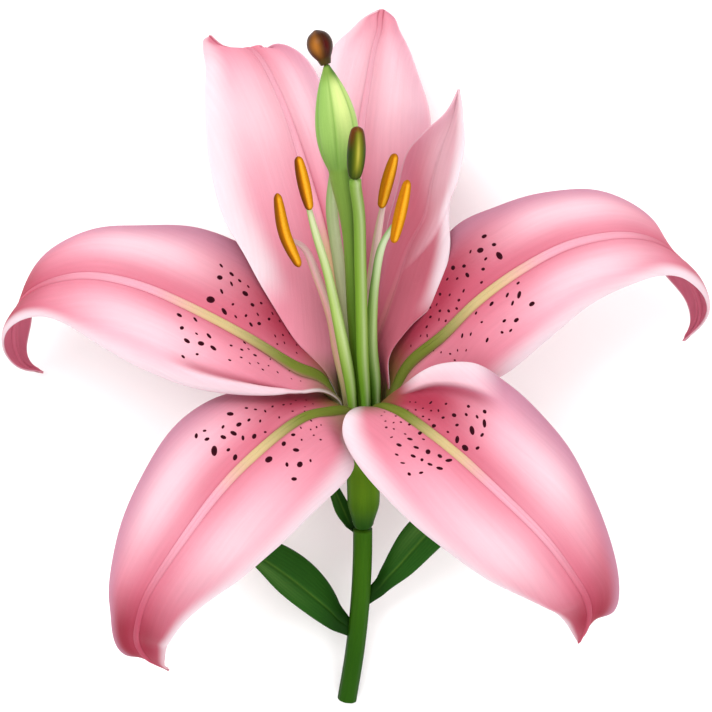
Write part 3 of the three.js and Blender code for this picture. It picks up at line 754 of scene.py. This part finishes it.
    def at(self, s, v):
        """Points and normals of the inner skin at shares of the length and the half width."""
        row = np.interp(s, self.share, np.arange(ROWS + 1))
        column = np.interp(v, self.v, np.arange(COLUMNS + 1))
        i, j = np.clip(row.astype(int), 0, ROWS - 1), np.clip(column.astype(int), 0, COLUMNS - 1)
        f, g = (row - i)[..., None], (column - j)[..., None]

        def read(grid):
            low = grid[i, j] * (1 - g) + grid[i, j + 1] * g
            high = grid[i + 1, j] * (1 - g) + grid[i + 1, j + 1] * g
            return low * (1 - f) + high * f

        return read(self.skin(1)), read(self.normals)


def spot_places(tepal, seed, ends, reach, count):
    """Where spots lie and how big they are: each has its share of the length, its place across,
    its half width in millimetres and its turn. They are small and close together at the
    throat, and large and far apart where they end."""
    random = np.random.default_rng(seed)
    centres, places = [], []
    for _ in range(4000):
        if len(places) == count:
            break
        side = random.integers(2)
        out = random.random() ** 0.75
        s = 0.14 + (ends[side] - 0.14) * out
        v = 0.12 + (reach[side] - 0.12) * random.random() * (0.55 + 0.45 * out)
        size = 0.26 + (0.16 + 0.62 * random.random() ** 1.1) * out**1.3
        signed = v if side else -v
        centre = tepal.at(np.array([s]), np.array([signed]))[0][0]
        if all(np.linalg.norm(centre - c) > 1.1 + 1.5 * (size + r) for c, r in centres):
            centres.append((centre, size))
            places.append((s, signed, size, random.normal(0, 0.5)))
    return places


def spots(tepal, material):
    """Raised oval papillae, each a small dome that follows the tepal's inner face."""
    turns, rims = 14, 4
    angle = np.arange(turns) * 2 * np.pi / turns
    verts, faces, tints = [], [], []
    for s, v, size, turn in spot_places(tepal, **SPOTTED[tepal.name]):
        half = np.interp(s, tepal.share, tepal.width) / 2
        index = len(verts) + np.arange(rims * turns).reshape(rims, turns)
        for share in np.linspace(1, 0.2, rims):
            long, wide = 1.6 * size * share * np.cos(angle), size * share * np.sin(angle)
            along = long * math.cos(turn) - wide * math.sin(turn)
            across = long * math.sin(turn) + wide * math.cos(turn)
            points, normals = tepal.at(s + along / tepal.length[-1], v + across / half)
            height = 0.22 * size**0.5 * (1 - share**2) - 0.06 * share
            verts.extend(tepal.fit(points + normals * height))
            faded = max(share**3, ramp(size, 0.5, 0.28))
            tints.extend([mix(SPOT_MIDDLE, SPOT_RIM, faded)] * turns)
        faces += faces_between(index) + [index[-1].tolist()]
    piece = mesh_piece(tepal.name + "_spots", np.array(verts), faces, {"tint": np.array(tints)})
    piece.data.materials.append(material)
    return keep(piece, "tepal")


# ---- rods: filaments, anthers, the pistil, the stigma, the seat and the stem ----


class Rod:
    """A round piece along a line, whose plain form fits its CAD node's box."""

    def __init__(self, node, points, rows, turns, size, flat=1.0):
        fine = spline(points, np.linspace(0, 1, 500))
        at = np.linspace(0, 1, rows + 1)
        reach = lengths(fine)
        self.line = np.stack(
            [np.interp(at * reach[-1], reach, fine[:, k]) for k in range(3)], axis=1
        )
        self.node = node
        self.u = at[:, None]
        self.angle = (np.arange(turns) * 2 * np.pi / turns)[None]
        self.x, self.y = tube_frames(self.line)
        self.size = size
        self.flat = flat
        self.reach = reach[-1]
        self.fit = fitter(node, self.rings(np.ones((rows + 1, turns))))

    def rings(self, swell):
        """The rod's rings with its half size multiplied by swell."""
        radius = (self.size(self.u) * swell)[..., None]
        cos, sin = np.cos(self.angle)[..., None], np.sin(self.angle)[..., None]
        offset = cos * self.x[:, None] + self.flat * sin * self.y[:, None]
        return self.line[:, None] + radius * offset

    def facing(self, direction):
        """How much each point of the rod's skin faces a direction, -1 to 1."""
        x, y = self.x @ direction, self.y @ direction
        return x[:, None] * np.cos(self.angle) + y[:, None] * np.sin(self.angle)

    def top(self, rows):
        """The angle round the rod that faces up, over the rows of a slice."""
        return math.atan2(self.y[rows, 2].mean(), self.x[rows, 2].mean())

    def build(self, swell, tint, material, slot):
        rings = self.fit(self.rings(swell))
        values = {
            "tint": tint + 0 * rings,
            "along": self.u * self.reach + 0 * self.angle,
            "across": self.angle * self.size(self.u).max() + 0 * self.u,
        }
        piece = rings_mesh(self.node, rings, values, material)
        return keep(piece, slot, self.node)


def rounded_ends(u, start, end):
    """1 along a rod, falling to 0 like a quarter circle over a share at each of its ends."""
    low = 1 - np.clip(u / start, 0, 1)
    high = 1 - np.clip((1 - u) / end, 0, 1)
    return np.sqrt(1 - low**2) * np.sqrt(1 - high**2) * 0.97 + 0.03


# ---- stamens ----
# The points that a filament follows after it leaves the seat, and its anther's tail, middle
# and tip. The front anther is unripe and stands on its filament; the others are held at the
# middle of their back.
STAMENS = {
    "front": dict(
        azimuth=20, shade=(0.95, 0.9), colours=((100, 152, 34), (134, 170, 62), (136, 166, 76)),
        filament=[(3, -10, 47.6), (2.2, 0, 54), (1.9, 10, 59.5), (1.5, 26, 67), (1.1, 40, 74)],
        anther=[(-0.1, 49, 79.5), (0.4, 56.3, 82), (0.7, 63.5, 84)],
    ),
    "right": dict(
        azimuth=80, shade=(0.45, 0.55), colours=((100, 152, 40), (156, 190, 100), (216, 230, 190)),
        filament=[
            (5.6, -7, 44.6), (4.6, 2.2, 49.3), (4.6, 10, 54), (5.6, 21.8, 61), (7.6, 31.4, 67)
        ],
        anther=[(10.5, 31.6, 73), (12.6, 40.3, 76), (14.6, 49, 78)],
    ),
    "back_right": dict(
        azimuth=140, shade=(0.6, 0.75), colours=((200, 190, 130), (240, 190, 190), (238, 196, 196)),
        filament=[(4.6, -7, 40.8), (4.2, 3, 45), (3.6, 10, 48.5), (4.8, 24, 56.5), (6.7, 36.7, 63)],
        anther=[(7.1, 41.2, 69), (9, 48.7, 71), (11.2, 56.3, 73)],
    ),
    "back": dict(
        azimuth=200, shade=(0.8, 0.5), colours=((130, 160, 90), (200, 205, 160), (170, 195, 130)),
        filament=[(0.3, -8, 40), (-1, 2, 43.5), (-2.2, 12, 46.8), (-4.4, 26, 50.6), (-6.5, 42, 53.4)],
        anther=[(-5.2, 50.5, 57), (-5.6, 59.5, 58.5), (-6.4, 68.5, 60)],
    ),
    "left": dict(
        azimuth=260, shade=(0.9, 0.35), colours=((190, 180, 116), (240, 172, 172), (246, 184, 194)),
        filament=[
            (-2.5, -7, 44.2), (-4.5, 2, 47), (-6.2, 10.6, 51), (-10.2, 22, 58), (-14, 30.4, 63.5)
        ],
        anther=[(-15.1, 25, 68.5), (-19.4, 34.2, 71.5), (-21.6, 45.4, 74)],
    ),
    "front_left": dict(
        azimuth=320, shade=(1.0, 0.4), colours=((124, 172, 42), (180, 208, 116), (216, 224, 172)),
        filament=[
            (-1.2, -7, 48), (-2.9, 2.2, 54.2), (-4.5, 10, 58.6), (-7.6, 23.8, 66), (-11.4, 36.4, 72)
        ],
        anther=[(-12.3, 40.6, 76.5), (-14.1, 48.2, 78.5), (-15.7, 55.4, 80)],
    ),
}
FOOT_R, THICK_R, TIP_R = 1.2, 1.8, 0.65
ANTHER_R, GREEN_R = 1.8, 2.7

# a painted highlight on the filaments
GREEN_HIGHLIGHT = srgb(226, 232, 196)
ORANGE = srgb(244, 158, 8)
YELLOW = srgb(255, 196, 60)
AMBER = srgb(196, 104, 2)
BROWN = srgb(104, 46, 2)
OLIVE = srgb(116, 124, 18)
DARK_OLIVE = srgb(34, 58, 4)


def filament(name, material):
    stamen = STAMENS[name]
    green = name == "front"
    tail, middle, _ = (np.array(p, float) for p in stamen["anther"])
    if green:
        hold = tail + unit(tail - middle) * 2 * GAP
    else:
        hold = middle + unit(np.array([0, -0.35, -1])) * (ANTHER_R + 1.3 * GAP + TIP_R)
    foot = flower_point(1.4 * GAP, FILAMENT_RING, stamen["azimuth"])
    upper = THICK_R if name in ("front", "back") else 0.68 * THICK_R
    tip = THICK_R if green else TIP_R
    size = lambda u: eased([(0, FOOT_R), (0.3, THICK_R), (0.75, upper), (1, tip)], u)
    rod = Rod("filament_" + name, [foot, *stamen["filament"], hold], 110, 20, size)
    u = rod.u
    # The last rings run on into the anther, which the CAD's gap keeps apart.
    rod.line += unit(middle - rod.line[-1]) * 1.3 * ramp(u, 0.97, 1)
    grooves = 1 - 0.05 * np.cos(3 * rod.angle) * (1 - u) - 0.03 * np.cos(2 * rod.angle)
    swell = grooves * rounded_ends(u, 0.004, 0.006)
    low, mid, high = (srgb(*c) for c in stamen["colours"])
    right = rod.facing(SIDE)
    tint = coated(
        low,
        (mid, ramp(u, 0.05, 0.5)),
        (high, ramp(u, 0.5, 0.95)),
        # painted shade down the left side and a painted highlight down the right
        (low, 0.7 * ramp(-right, 0.1, 1)),
        (GREEN_HIGHLIGHT, 0.35 * bell(right, 0.35, 0.3)),
    )
    return rod.build(swell, tint, material, "filament")


def anther(name, ripe, unripe):
    stamen = STAMENS[name]
    green = name == "front"
    radius = GREEN_R if green else ANTHER_R
    belly = lambda u: radius * np.sin(np.pi * (0.03 + 0.94 * u)) ** 0.32
    rod = Rod("anther_" + name, stamen["anther"], 90, 48, belly, 0.85)
    u = rod.u
    right, up = rod.facing(SIDE), rod.facing(UP)
    ends = rounded_ends(u, 0.07, 0.07)
    # A seam between the two lobes runs down the face, and a shallower one down the back.
    seam = bell(right, -0.25, 0.12) * (0.13 * (up > 0) + 0.1 * (up <= 0))
    lobes = 1 - seam * ramp(u, 0.02, 0.15) * ramp(1 - u, 0.02, 0.15)
    tint = anther_tint(u, right, up, green, stamen["shade"])
    if green:
        return rod.build(lobes * ends, tint, unripe, "unripe_anther")
    crumbs = 1 + 0.01 * np.sin(31 * rod.angle + 9 * u) * np.sin(170 * u)
    return rod.build(lobes * crumbs * ends, tint, ripe, "anther")


def anther_tint(u, right, up, green, shade):
    """An anther's colours: a painted highlight down the middle of its face and painted shade down
    its sides and back. shade says how dark the painted shade on its left and right sides is."""
    ends = ramp(np.abs(2 * u - 1), 0.84, 1) + 0 * right
    left_shade = shade[0] * ramp(-right, -0.1, 0.6)
    right_shade = shade[1] * ramp(right, 0.4, 0.95)
    dark = np.clip(left_shade + right_shade + 0.6 * (up < 0), 0, 1)
    lit = bell(right, 0.28, 0.24) * (1 - ends)
    if green:
        return coated(
            OLIVE,
            # painted shade down the sides and back, and dark olive towards the foot
            (DARK_OLIVE, np.maximum(dark, 0.9 * ramp(u, 0.36, 0.0))),
            # brown over its upper half, strongest in the painted shade
            (BROWN, 0.85 * ramp(u, 0.5, 0.9) * np.maximum(dark, 0.15)),
            (BROWN, 0.85 * ramp(u, 0.86, 0.97)),
            # a painted highlight down the face
            (srgb(196, 184, 72), 0.9 * bell(right, 0.2, 0.16) * bell(u, 0.55, 0.28)),
        )
    return coated(
        ORANGE,
        # a painted highlight down the face
        (YELLOW, 0.65 * lit),
        # painted shade in the seam between the lobes; darker towards the ends
        (AMBER, 0.6 * bell(right, -0.25, 0.16) + 0.4 * ends),
        # painted shade down the sides and back; darker towards the ends
        (BROWN, np.maximum(0.95 * dark, 0.45 * ends)),
    )


# ---- pistil and stigma ----
PISTIL = [
    (1.9, -10, 43.2), (0.6, 0, 48.3), (-0.6, 12, 53.4), (-1.3, 26, 59.5), (-2.4, 40, 64.5),
    (-4.2, 51, 67.6), (-5.2, 64.5, 70.2), (-8, 81, 72.6),
]
PISTIL_LENGTH, HEAD_LENGTH, HEAD_R = 114, 33, 5.8
HEAD_FROM = 1 - HEAD_LENGTH / PISTIL_LENGTH
STIGMA_LENGTH, STIGMA_R = 9.2, 3.6


def head_radius(u):
    """The head: widest two fifths of the way up, tapering to the stigma."""
    share = np.clip((u - HEAD_FROM) / (1 - HEAD_FROM), 0, 1)
    return HEAD_R * np.clip(np.sin(np.pi * share**0.76), 0, 1) ** 0.75


def pistil(material):
    style = [(0, 2), (0.16, 2), (0.3, 1.6), (HEAD_FROM - 0.2, 1.6)]
    stalk = [*style, (HEAD_FROM + 0.03, 3.14), (1, 0.96)]
    size = lambda u: (eased(stalk, u) ** 5 + head_radius(u) ** 5) ** 0.2
    rod = Rod("pistil", [flower_point(GAP, 0, 0), *PISTIL], 280, 96, size)
    u = rod.u
    head = ramp(head_radius(u), 1.5, 3.5) * ramp(u, HEAD_FROM, HEAD_FROM + 0.02)
    turn = rod.angle - rod.top(slice(-60, None)) + 0.1
    ribs = bell(np.abs(np.sin(3 * turn)), 0, 0.2)
    swell = 1 + head * (0.03 * np.abs(np.sin(3 * turn)) - 0.05 * ribs)
    swell = swell * (1 + (1 - head) * 0.05 * np.cos(3 * turn))
    swell = swell * rounded_ends(u, 0.004, 0.012)
    share = (u - HEAD_FROM) / (1 - HEAD_FROM)
    right = rod.facing(SIDE)
    stalk_tint = coated(
        srgb(84, 124, 24),
        (srgb(130, 164, 70), ramp(u, 0.15, 0.7)),
        # painted shade down the style's right side
        (srgb(62, 106, 26), 0.8 * ramp(right, 0.1, 1)),
    )
    head_tint = coated(
        srgb(154, 194, 98),
        # painted highlight on the head's right side
        (srgb(224, 240, 150), bell(right, 0.45, 0.5) * bell(share, 0.68, 0.34)),
        (srgb(122, 164, 74), 0.8 * ramp(share, 0.42, 0.0)),
        # painted shade down the head's left side
        (srgb(120, 164, 72), 0.5 * ramp(-right, 0.55, 1)),
        # painted shade in the head's grooves, where the swell sinks in
        (srgb(126, 172, 70), 0.6 * ribs),
    )
    return rod.build(swell, mix(stalk_tint, head_tint, head), material, "pistil")


def stigma(material):
    lean = unit(np.array([-0.3, 0.94, 0.12]))
    start = PISTIL[-1] + lean * 1.6 * GAP
    size = lambda u: STIGMA_R * np.sin(np.pi * (0.07 + 0.89 * u**1.2)) ** 0.62
    points = [start + lean * STIGMA_LENGTH * share for share in (0, 0.5, 1)]
    rod = Rod("stigma", points, 90, 90, size)
    u = rod.u
    # Its foot runs back to the pistil's tip, which the CAD's gap keeps apart.
    rod.line -= lean * 0.9 * ramp(u, 0.12, 0)
    right, up = rod.facing(SIDE), rod.facing(UP)
    # Three lobes meet in clefts; the one that shows lies to the right of the middle.
    turn = np.arctan2(right, up) - 0.5
    cleft = bell(np.abs(np.sin(1.5 * turn)), 0, 0.1) * bell(u, 0.52, 0.24)
    swell = (1.03 - 0.16 * cleft) * rounded_ends(u, 0.01, 0.16)
    # painted highlight on the knob's upper left
    lit = bell(right, -0.3, 0.4) * ramp(up, 0, 0.7) * bell(u, 0.55, 0.35)
    tint = coated(
        srgb(58, 26, 4),
        (srgb(176, 108, 36), lit),
        (srgb(70, 60, 16), 0.8 * ramp(u, 0.2, 0.02)),
        (srgb(84, 0, 0), 0.95 * bell(turn, 0, 0.24) * bell(u, 0.5, 0.22)),
    )
    return rod.build(swell, tint, material, "stigma")


# ---- seat and stem ----
SEAT_LENGTH, STEM_LENGTH, STEM_BEND = 33, 52, 4.6
SEAT_FOOT = SEAT - AXIS * SEAT_LENGTH
STEM_RISE = math.radians(22)


def receptacle(material):
    size = lambda u: eased([(0, STEM_R), (0.28, 4.6), (0.6, 4.8), (1, 7.9)], u)
    points = [SEAT_FOOT, (SEAT_FOOT + SEAT) / 2, SEAT]
    rod = Rod("receptacle", points, 120, 84, size)
    u = rod.u
    ridges = np.cos(7 * (rod.angle - 0.2))
    swell = 1 + 0.03 * ridges * ramp(u, 0.3, 1) + 0.02 * np.cos(3 * rod.angle)
    swell = swell * rounded_ends(u, 0.05, 0.01)
    up = rod.top(slice(0, 1))
    tint = coated(
        srgb(30, 78, 6),
        (srgb(100, 146, 22), ramp(u, 0.02, 0.45)),
        (srgb(134, 162, 60), ramp(u, 0.6, 1)),
        # painted shade on the side turned down
        (srgb(34, 82, 8), 0.75 * ramp(-np.cos(rod.angle - up - 0.2), -0.75, 0.1)),
        # painted shade between its ridges
        (srgb(60, 104, 20), 0.1 * (1 - ridges)),
    )
    return rod.build(swell, tint, material, "receptacle")


def stem_line():
    """Points down the stem from the seat's foot, bending a little to the left."""
    top = SEAT_FOOT - AXIS * (GAP + STEM_R * math.sin(RISE - STEM_RISE))
    down = -STEM_LENGTH * np.array([0, math.cos(STEM_RISE), math.sin(STEM_RISE)])
    return [top + down * s - SIDE * STEM_BEND * s * s for s in (0, 0.15, 0.4, 0.7, 1)]


def stem(material):
    rod = Rod("stem", stem_line(), 160, 60, lambda u: STEM_R + 0 * u)
    u = rod.u
    # The top runs on into the seat's foot, which the CAD's gap keeps apart.
    rod.line += AXIS * 0.9 * ramp(u, 0.03, 0)
    ridges = 0.014 * np.cos(9 * rod.angle) + 0.01 * np.cos(5 * rod.angle + 6 * u)
    swell = (1 + ridges) * rounded_ends(u, 0.006, 0.008)
    up = rod.top(slice(0, 1))
    tint = coated(
        srgb(62, 112, 16),
        (srgb(42, 88, 12), ramp(u, 0.1, 0.8)),
        # painted shade on the side turned down
        (srgb(24, 62, 8), 0.8 * ramp(-np.cos(rod.angle - up), -0.8, 0.0)),
        (srgb(196, 206, 140), ramp(u, 0.994, 0.998)),
    )
    return rod.build(swell, tint, material, "stem")


# ---- leaves ----
LEAVES = {}
LEAVES["leaf_left"] = dict(share=0.58, toward=(-1, 0.1, 0), rails=[
    (0.2, 2.2, 0), (0, 0, 0), (-0.4, -2.2, 0),
    (-2.4, 9.6, 1), (-3.4, 4.3, 2), (-5.4, 0.6, 2),
    (-8, 17, 6), (-9.6, 9.8, 7), (-12.4, 5.4, 7),
    (-13.8, 22, 11), (-16, 15, 12), (-19, 11, 12),
    (-20, 25, 16), (-22.4, 19.5, 16.5), (-25, 17.6, 17),
    (-29.6, 28.2, 19), (-31, 25, 19.5), (-32, 23.6, 20),
    (-39.9, 30.6, 22), (-40, 30.5, 22), (-40.1, 30.4, 22),
])
LEAVES["leaf_right"] = dict(share=0.4, toward=(1, 0.1, 0), rails=[
    (0.2, -2, 0), (0, 0, 0), (0, 2.2, 0),
    (4.6, 2.2, 1), (3.4, 5, 2), (2, 7.4, 1),
    (10.4, 6.6, 5), (7.4, 9.4, 6), (4.4, 13, 5),
    (16, 11.6, 10), (12.2, 15, 11), (8.4, 19.4, 10),
    (21.4, 17, 15), (17.4, 20.6, 16), (14, 25, 15),
    (26.8, 23, 19), (24, 26, 20), (22, 29, 19.5),
    (32.3, 32.2, 23), (32.2, 32.3, 23), (32.1, 32.4, 23),
])
LEAF_HALF = 0.5  # half its thickness
BRACT_LENGTH, BRACT_HALF_WIDTH = 21, 2.4
LEAF_DARK = srgb(22, 60, 10)
LEAF_MIDDLE = srgb(42, 94, 24)
# LEAF_LIGHT: the back's own colour, and painted light on the upper face
LEAF_LIGHT = srgb(96, 142, 64)
LEAF_RIB = srgb(84, 128, 44)


def leaf_blade(name, stations, toward_stem, material, rows=120, columns=48):
    """A leaf over its stations: a sunken rib above, a keel below and ribs along it."""
    at = np.linspace(0, 1, rows + 1)
    a, rib, b = blade_rails(stations, at, 30)
    v = np.linspace(-1, 1, columns + 1)
    base = blade_grid(a, rib, b, v)
    normals = grid_normals(base)
    fit = fitter(name, np.stack([base + LEAF_HALF * normals, base - LEAF_HALF * normals]))
    width = np.linalg.norm(b - a, axis=1)[:, None]
    at, v = at[:, None], v[None]
    across = v * width / 2
    veins = 0.03 * np.cos(2 * np.pi * v * 7) * (1 - v**2)
    sway = 0.25 * v**3 * np.sin(2 * np.pi * 2.3 * at)
    full = ramp(width, 4, 9)
    groove = 0.4 * full * bell(across, 0, 0.45)
    upper = base + normals * (full * veins + sway - groove + 0.42)[..., None]
    lower = base + normals * (sway - 0.4 - 0.5 * full * bell(across, 0, 0.7))[..., None]
    edge = np.sqrt(np.clip(1 - v**10, 0, 1))[..., None]
    middle = (upper + lower) / 2
    upper, lower = (middle + (side - middle) * (0.15 + 0.85 * edge) for side in (upper, lower))
    open_part = ramp(at, 0.02, 0.35) + 0 * v
    top = coated(
        LEAF_DARK,
        (LEAF_MIDDLE, open_part),
        # painted light on one half of the blade, away from its foot
        (LEAF_LIGHT, 0.7 * bell(v, 0.5, 0.34) * ramp(at, 0.2, 0.75)),
        (LEAF_DARK, 0.12 + 0.12 * np.cos(44 * v)),
        (LEAF_RIB, 0.75 * bell(across, 0, 0.28) * open_part),
    )
    length = lengths(rib)[:, None] + 0 * v
    values = {
        "tint": wrapped(mix(LEAF_LIGHT, LEAF_RIB, 0.5 + 0 * across), top),
        "along": wrapped(length, length),
        "across": wrapped(across + LEAF_BACK, across),
    }
    # The foot runs on to the stem's own skin, which the CAD's gap keeps apart.
    rings = wrapped(lower, upper) + toward_stem * ramp(at, 0.12, 0)[..., None]
    return keep(rings_mesh(name, fit(rings), values, material), "leaf", name)


def leaf(name, material):
    share, toward, rails = LEAVES[name].values()
    line = spline(stem_line(), np.linspace(0, 1, 200))
    out = unit(np.array(toward))
    foot = line[int(share * 199)] + out * (STEM_R + LEAF_HALF + GAP)
    stations = foot + np.array(rails).reshape(-1, 3, 3)
    return leaf_blade(name, stations, -1.6 * out, material)


def bract(material):
    out = np.array([-0.8, 0, -0.6])
    foot = stem_line()[0] + out * (STEM_R + LEAF_HALF + 1.5 * GAP)
    run = unit(np.array([-0.36, 0.9, 0.2]))
    across = unit(np.array([0.75, 0.45, -0.5]))
    stations = []
    for i, width in enumerate((0.3, 0.8, 1, 0.85, 0.5, 0.05)):
        rib = foot + (run * BRACT_LENGTH - SIDE * 0.6) * i / 5
        half = across * width * BRACT_HALF_WIDTH
        stations.append([rib + half, rib, rib - half])
    return leaf_blade("bract", stations, -1.2 * out, material, 60, 24)


# ---- the flower ----
petal = tepal_material()
dark = spot_material()
for name in TEPALS:
    tepal = Tepal(name)
    tepal.build(petal)
    if name in SPOTTED:
        spots(tepal, dark)

stalk = plant_material("filament", 1.6, 0.35, 0.42, 0.08)
pollen = pollen_material()
unripe_skin = plant_material("unripe_anther", 2.2, 0.3, 0.35, 0.06, 0.08)
for name in STAMENS:
    filament(name, stalk)
    anther(name, pollen, unripe_skin)
pistil(plant_material("pistil", 1.4, 0.35, 0.36, 0.06, 0.06))
stigma(plant_material("stigma", 1.8, 0.3, 0.3, 0.08, 0.1))
receptacle(plant_material("receptacle", 1.2, 0.4, 0.42, 0.08))
stem(plant_material("stem", 2.0, 0.35, 0.4, 0.1))
leaf_skin = plant_material("leaf", 2.4, 0.4, 0.42, 0.08)
for name in LEAVES:
    leaf(name, leaf_skin)
bract(leaf_skin)


# ---- the set: a pale floor, soft lights and a camera that looks straight down, in metres ----
LIGHTS_AIM_AT = 0.04
SENSOR = 36


def floor():
    mesh = bpy.data.meshes.new("floor")
    corners = [(-30, -30, 0), (30, -30, 0), (30, 30, 0), (-30, 30, 0)]
    mesh.from_pydata(corners, [], [(0, 1, 2, 3)])
    n = Nodes("floor")
    grain = n.between(n.noise(n.place(), 40.0, 3.0), 0.97, 0.99)
    mesh.materials.append(n.finish(Base_Color=grain, Roughness=0.9, Specular_IOR_Level=0.05))
    placed("floor", mesh)


def area_light(name, place, size, watts):
    light = bpy.data.lights.new(name, "AREA")
    light.size = size
    light.energy = watts
    lamp = placed(name, light)
    lamp.location = place
    aim = Vector((0, 0, LIGHTS_AIM_AT)) - lamp.location
    lamp.rotation_euler = aim.to_track_quat("-Z", "Y").to_euler()


def camera(height, frame_width, frame_height):
    """A camera that frames so wide a strip of what lies frame_height above the floor."""
    data = bpy.data.cameras.new("camera")
    data.sensor_width = SENSOR
    data.lens = SENSOR * (height - frame_height) / frame_width
    data.clip_start = 0.5
    data.clip_end = 200
    view = placed("camera", data)
    view.location = (0, 0, height)
    bpy.context.scene.camera = view


def sky(strength):
    world = bpy.data.worlds.new("world")
    world.use_nodes = True
    background = world.node_tree.nodes["Background"].inputs
    background["Color"].default_value = (1, 1, 1, 1)
    background["Strength"].default_value = strength
    bpy.context.scene.world = world


floor()
area_light("key", (-0.5, 0.6, 1.4), size=1.0, watts=14.8)
area_light("fill", (0.9, -0.5, 1.2), size=1.2, watts=6.1)
camera(height=3.0, frame_width=0.19936, frame_height=0.02)
sky(strength=1.23)
bpy.context.scene.view_settings.view_transform = "Standard"
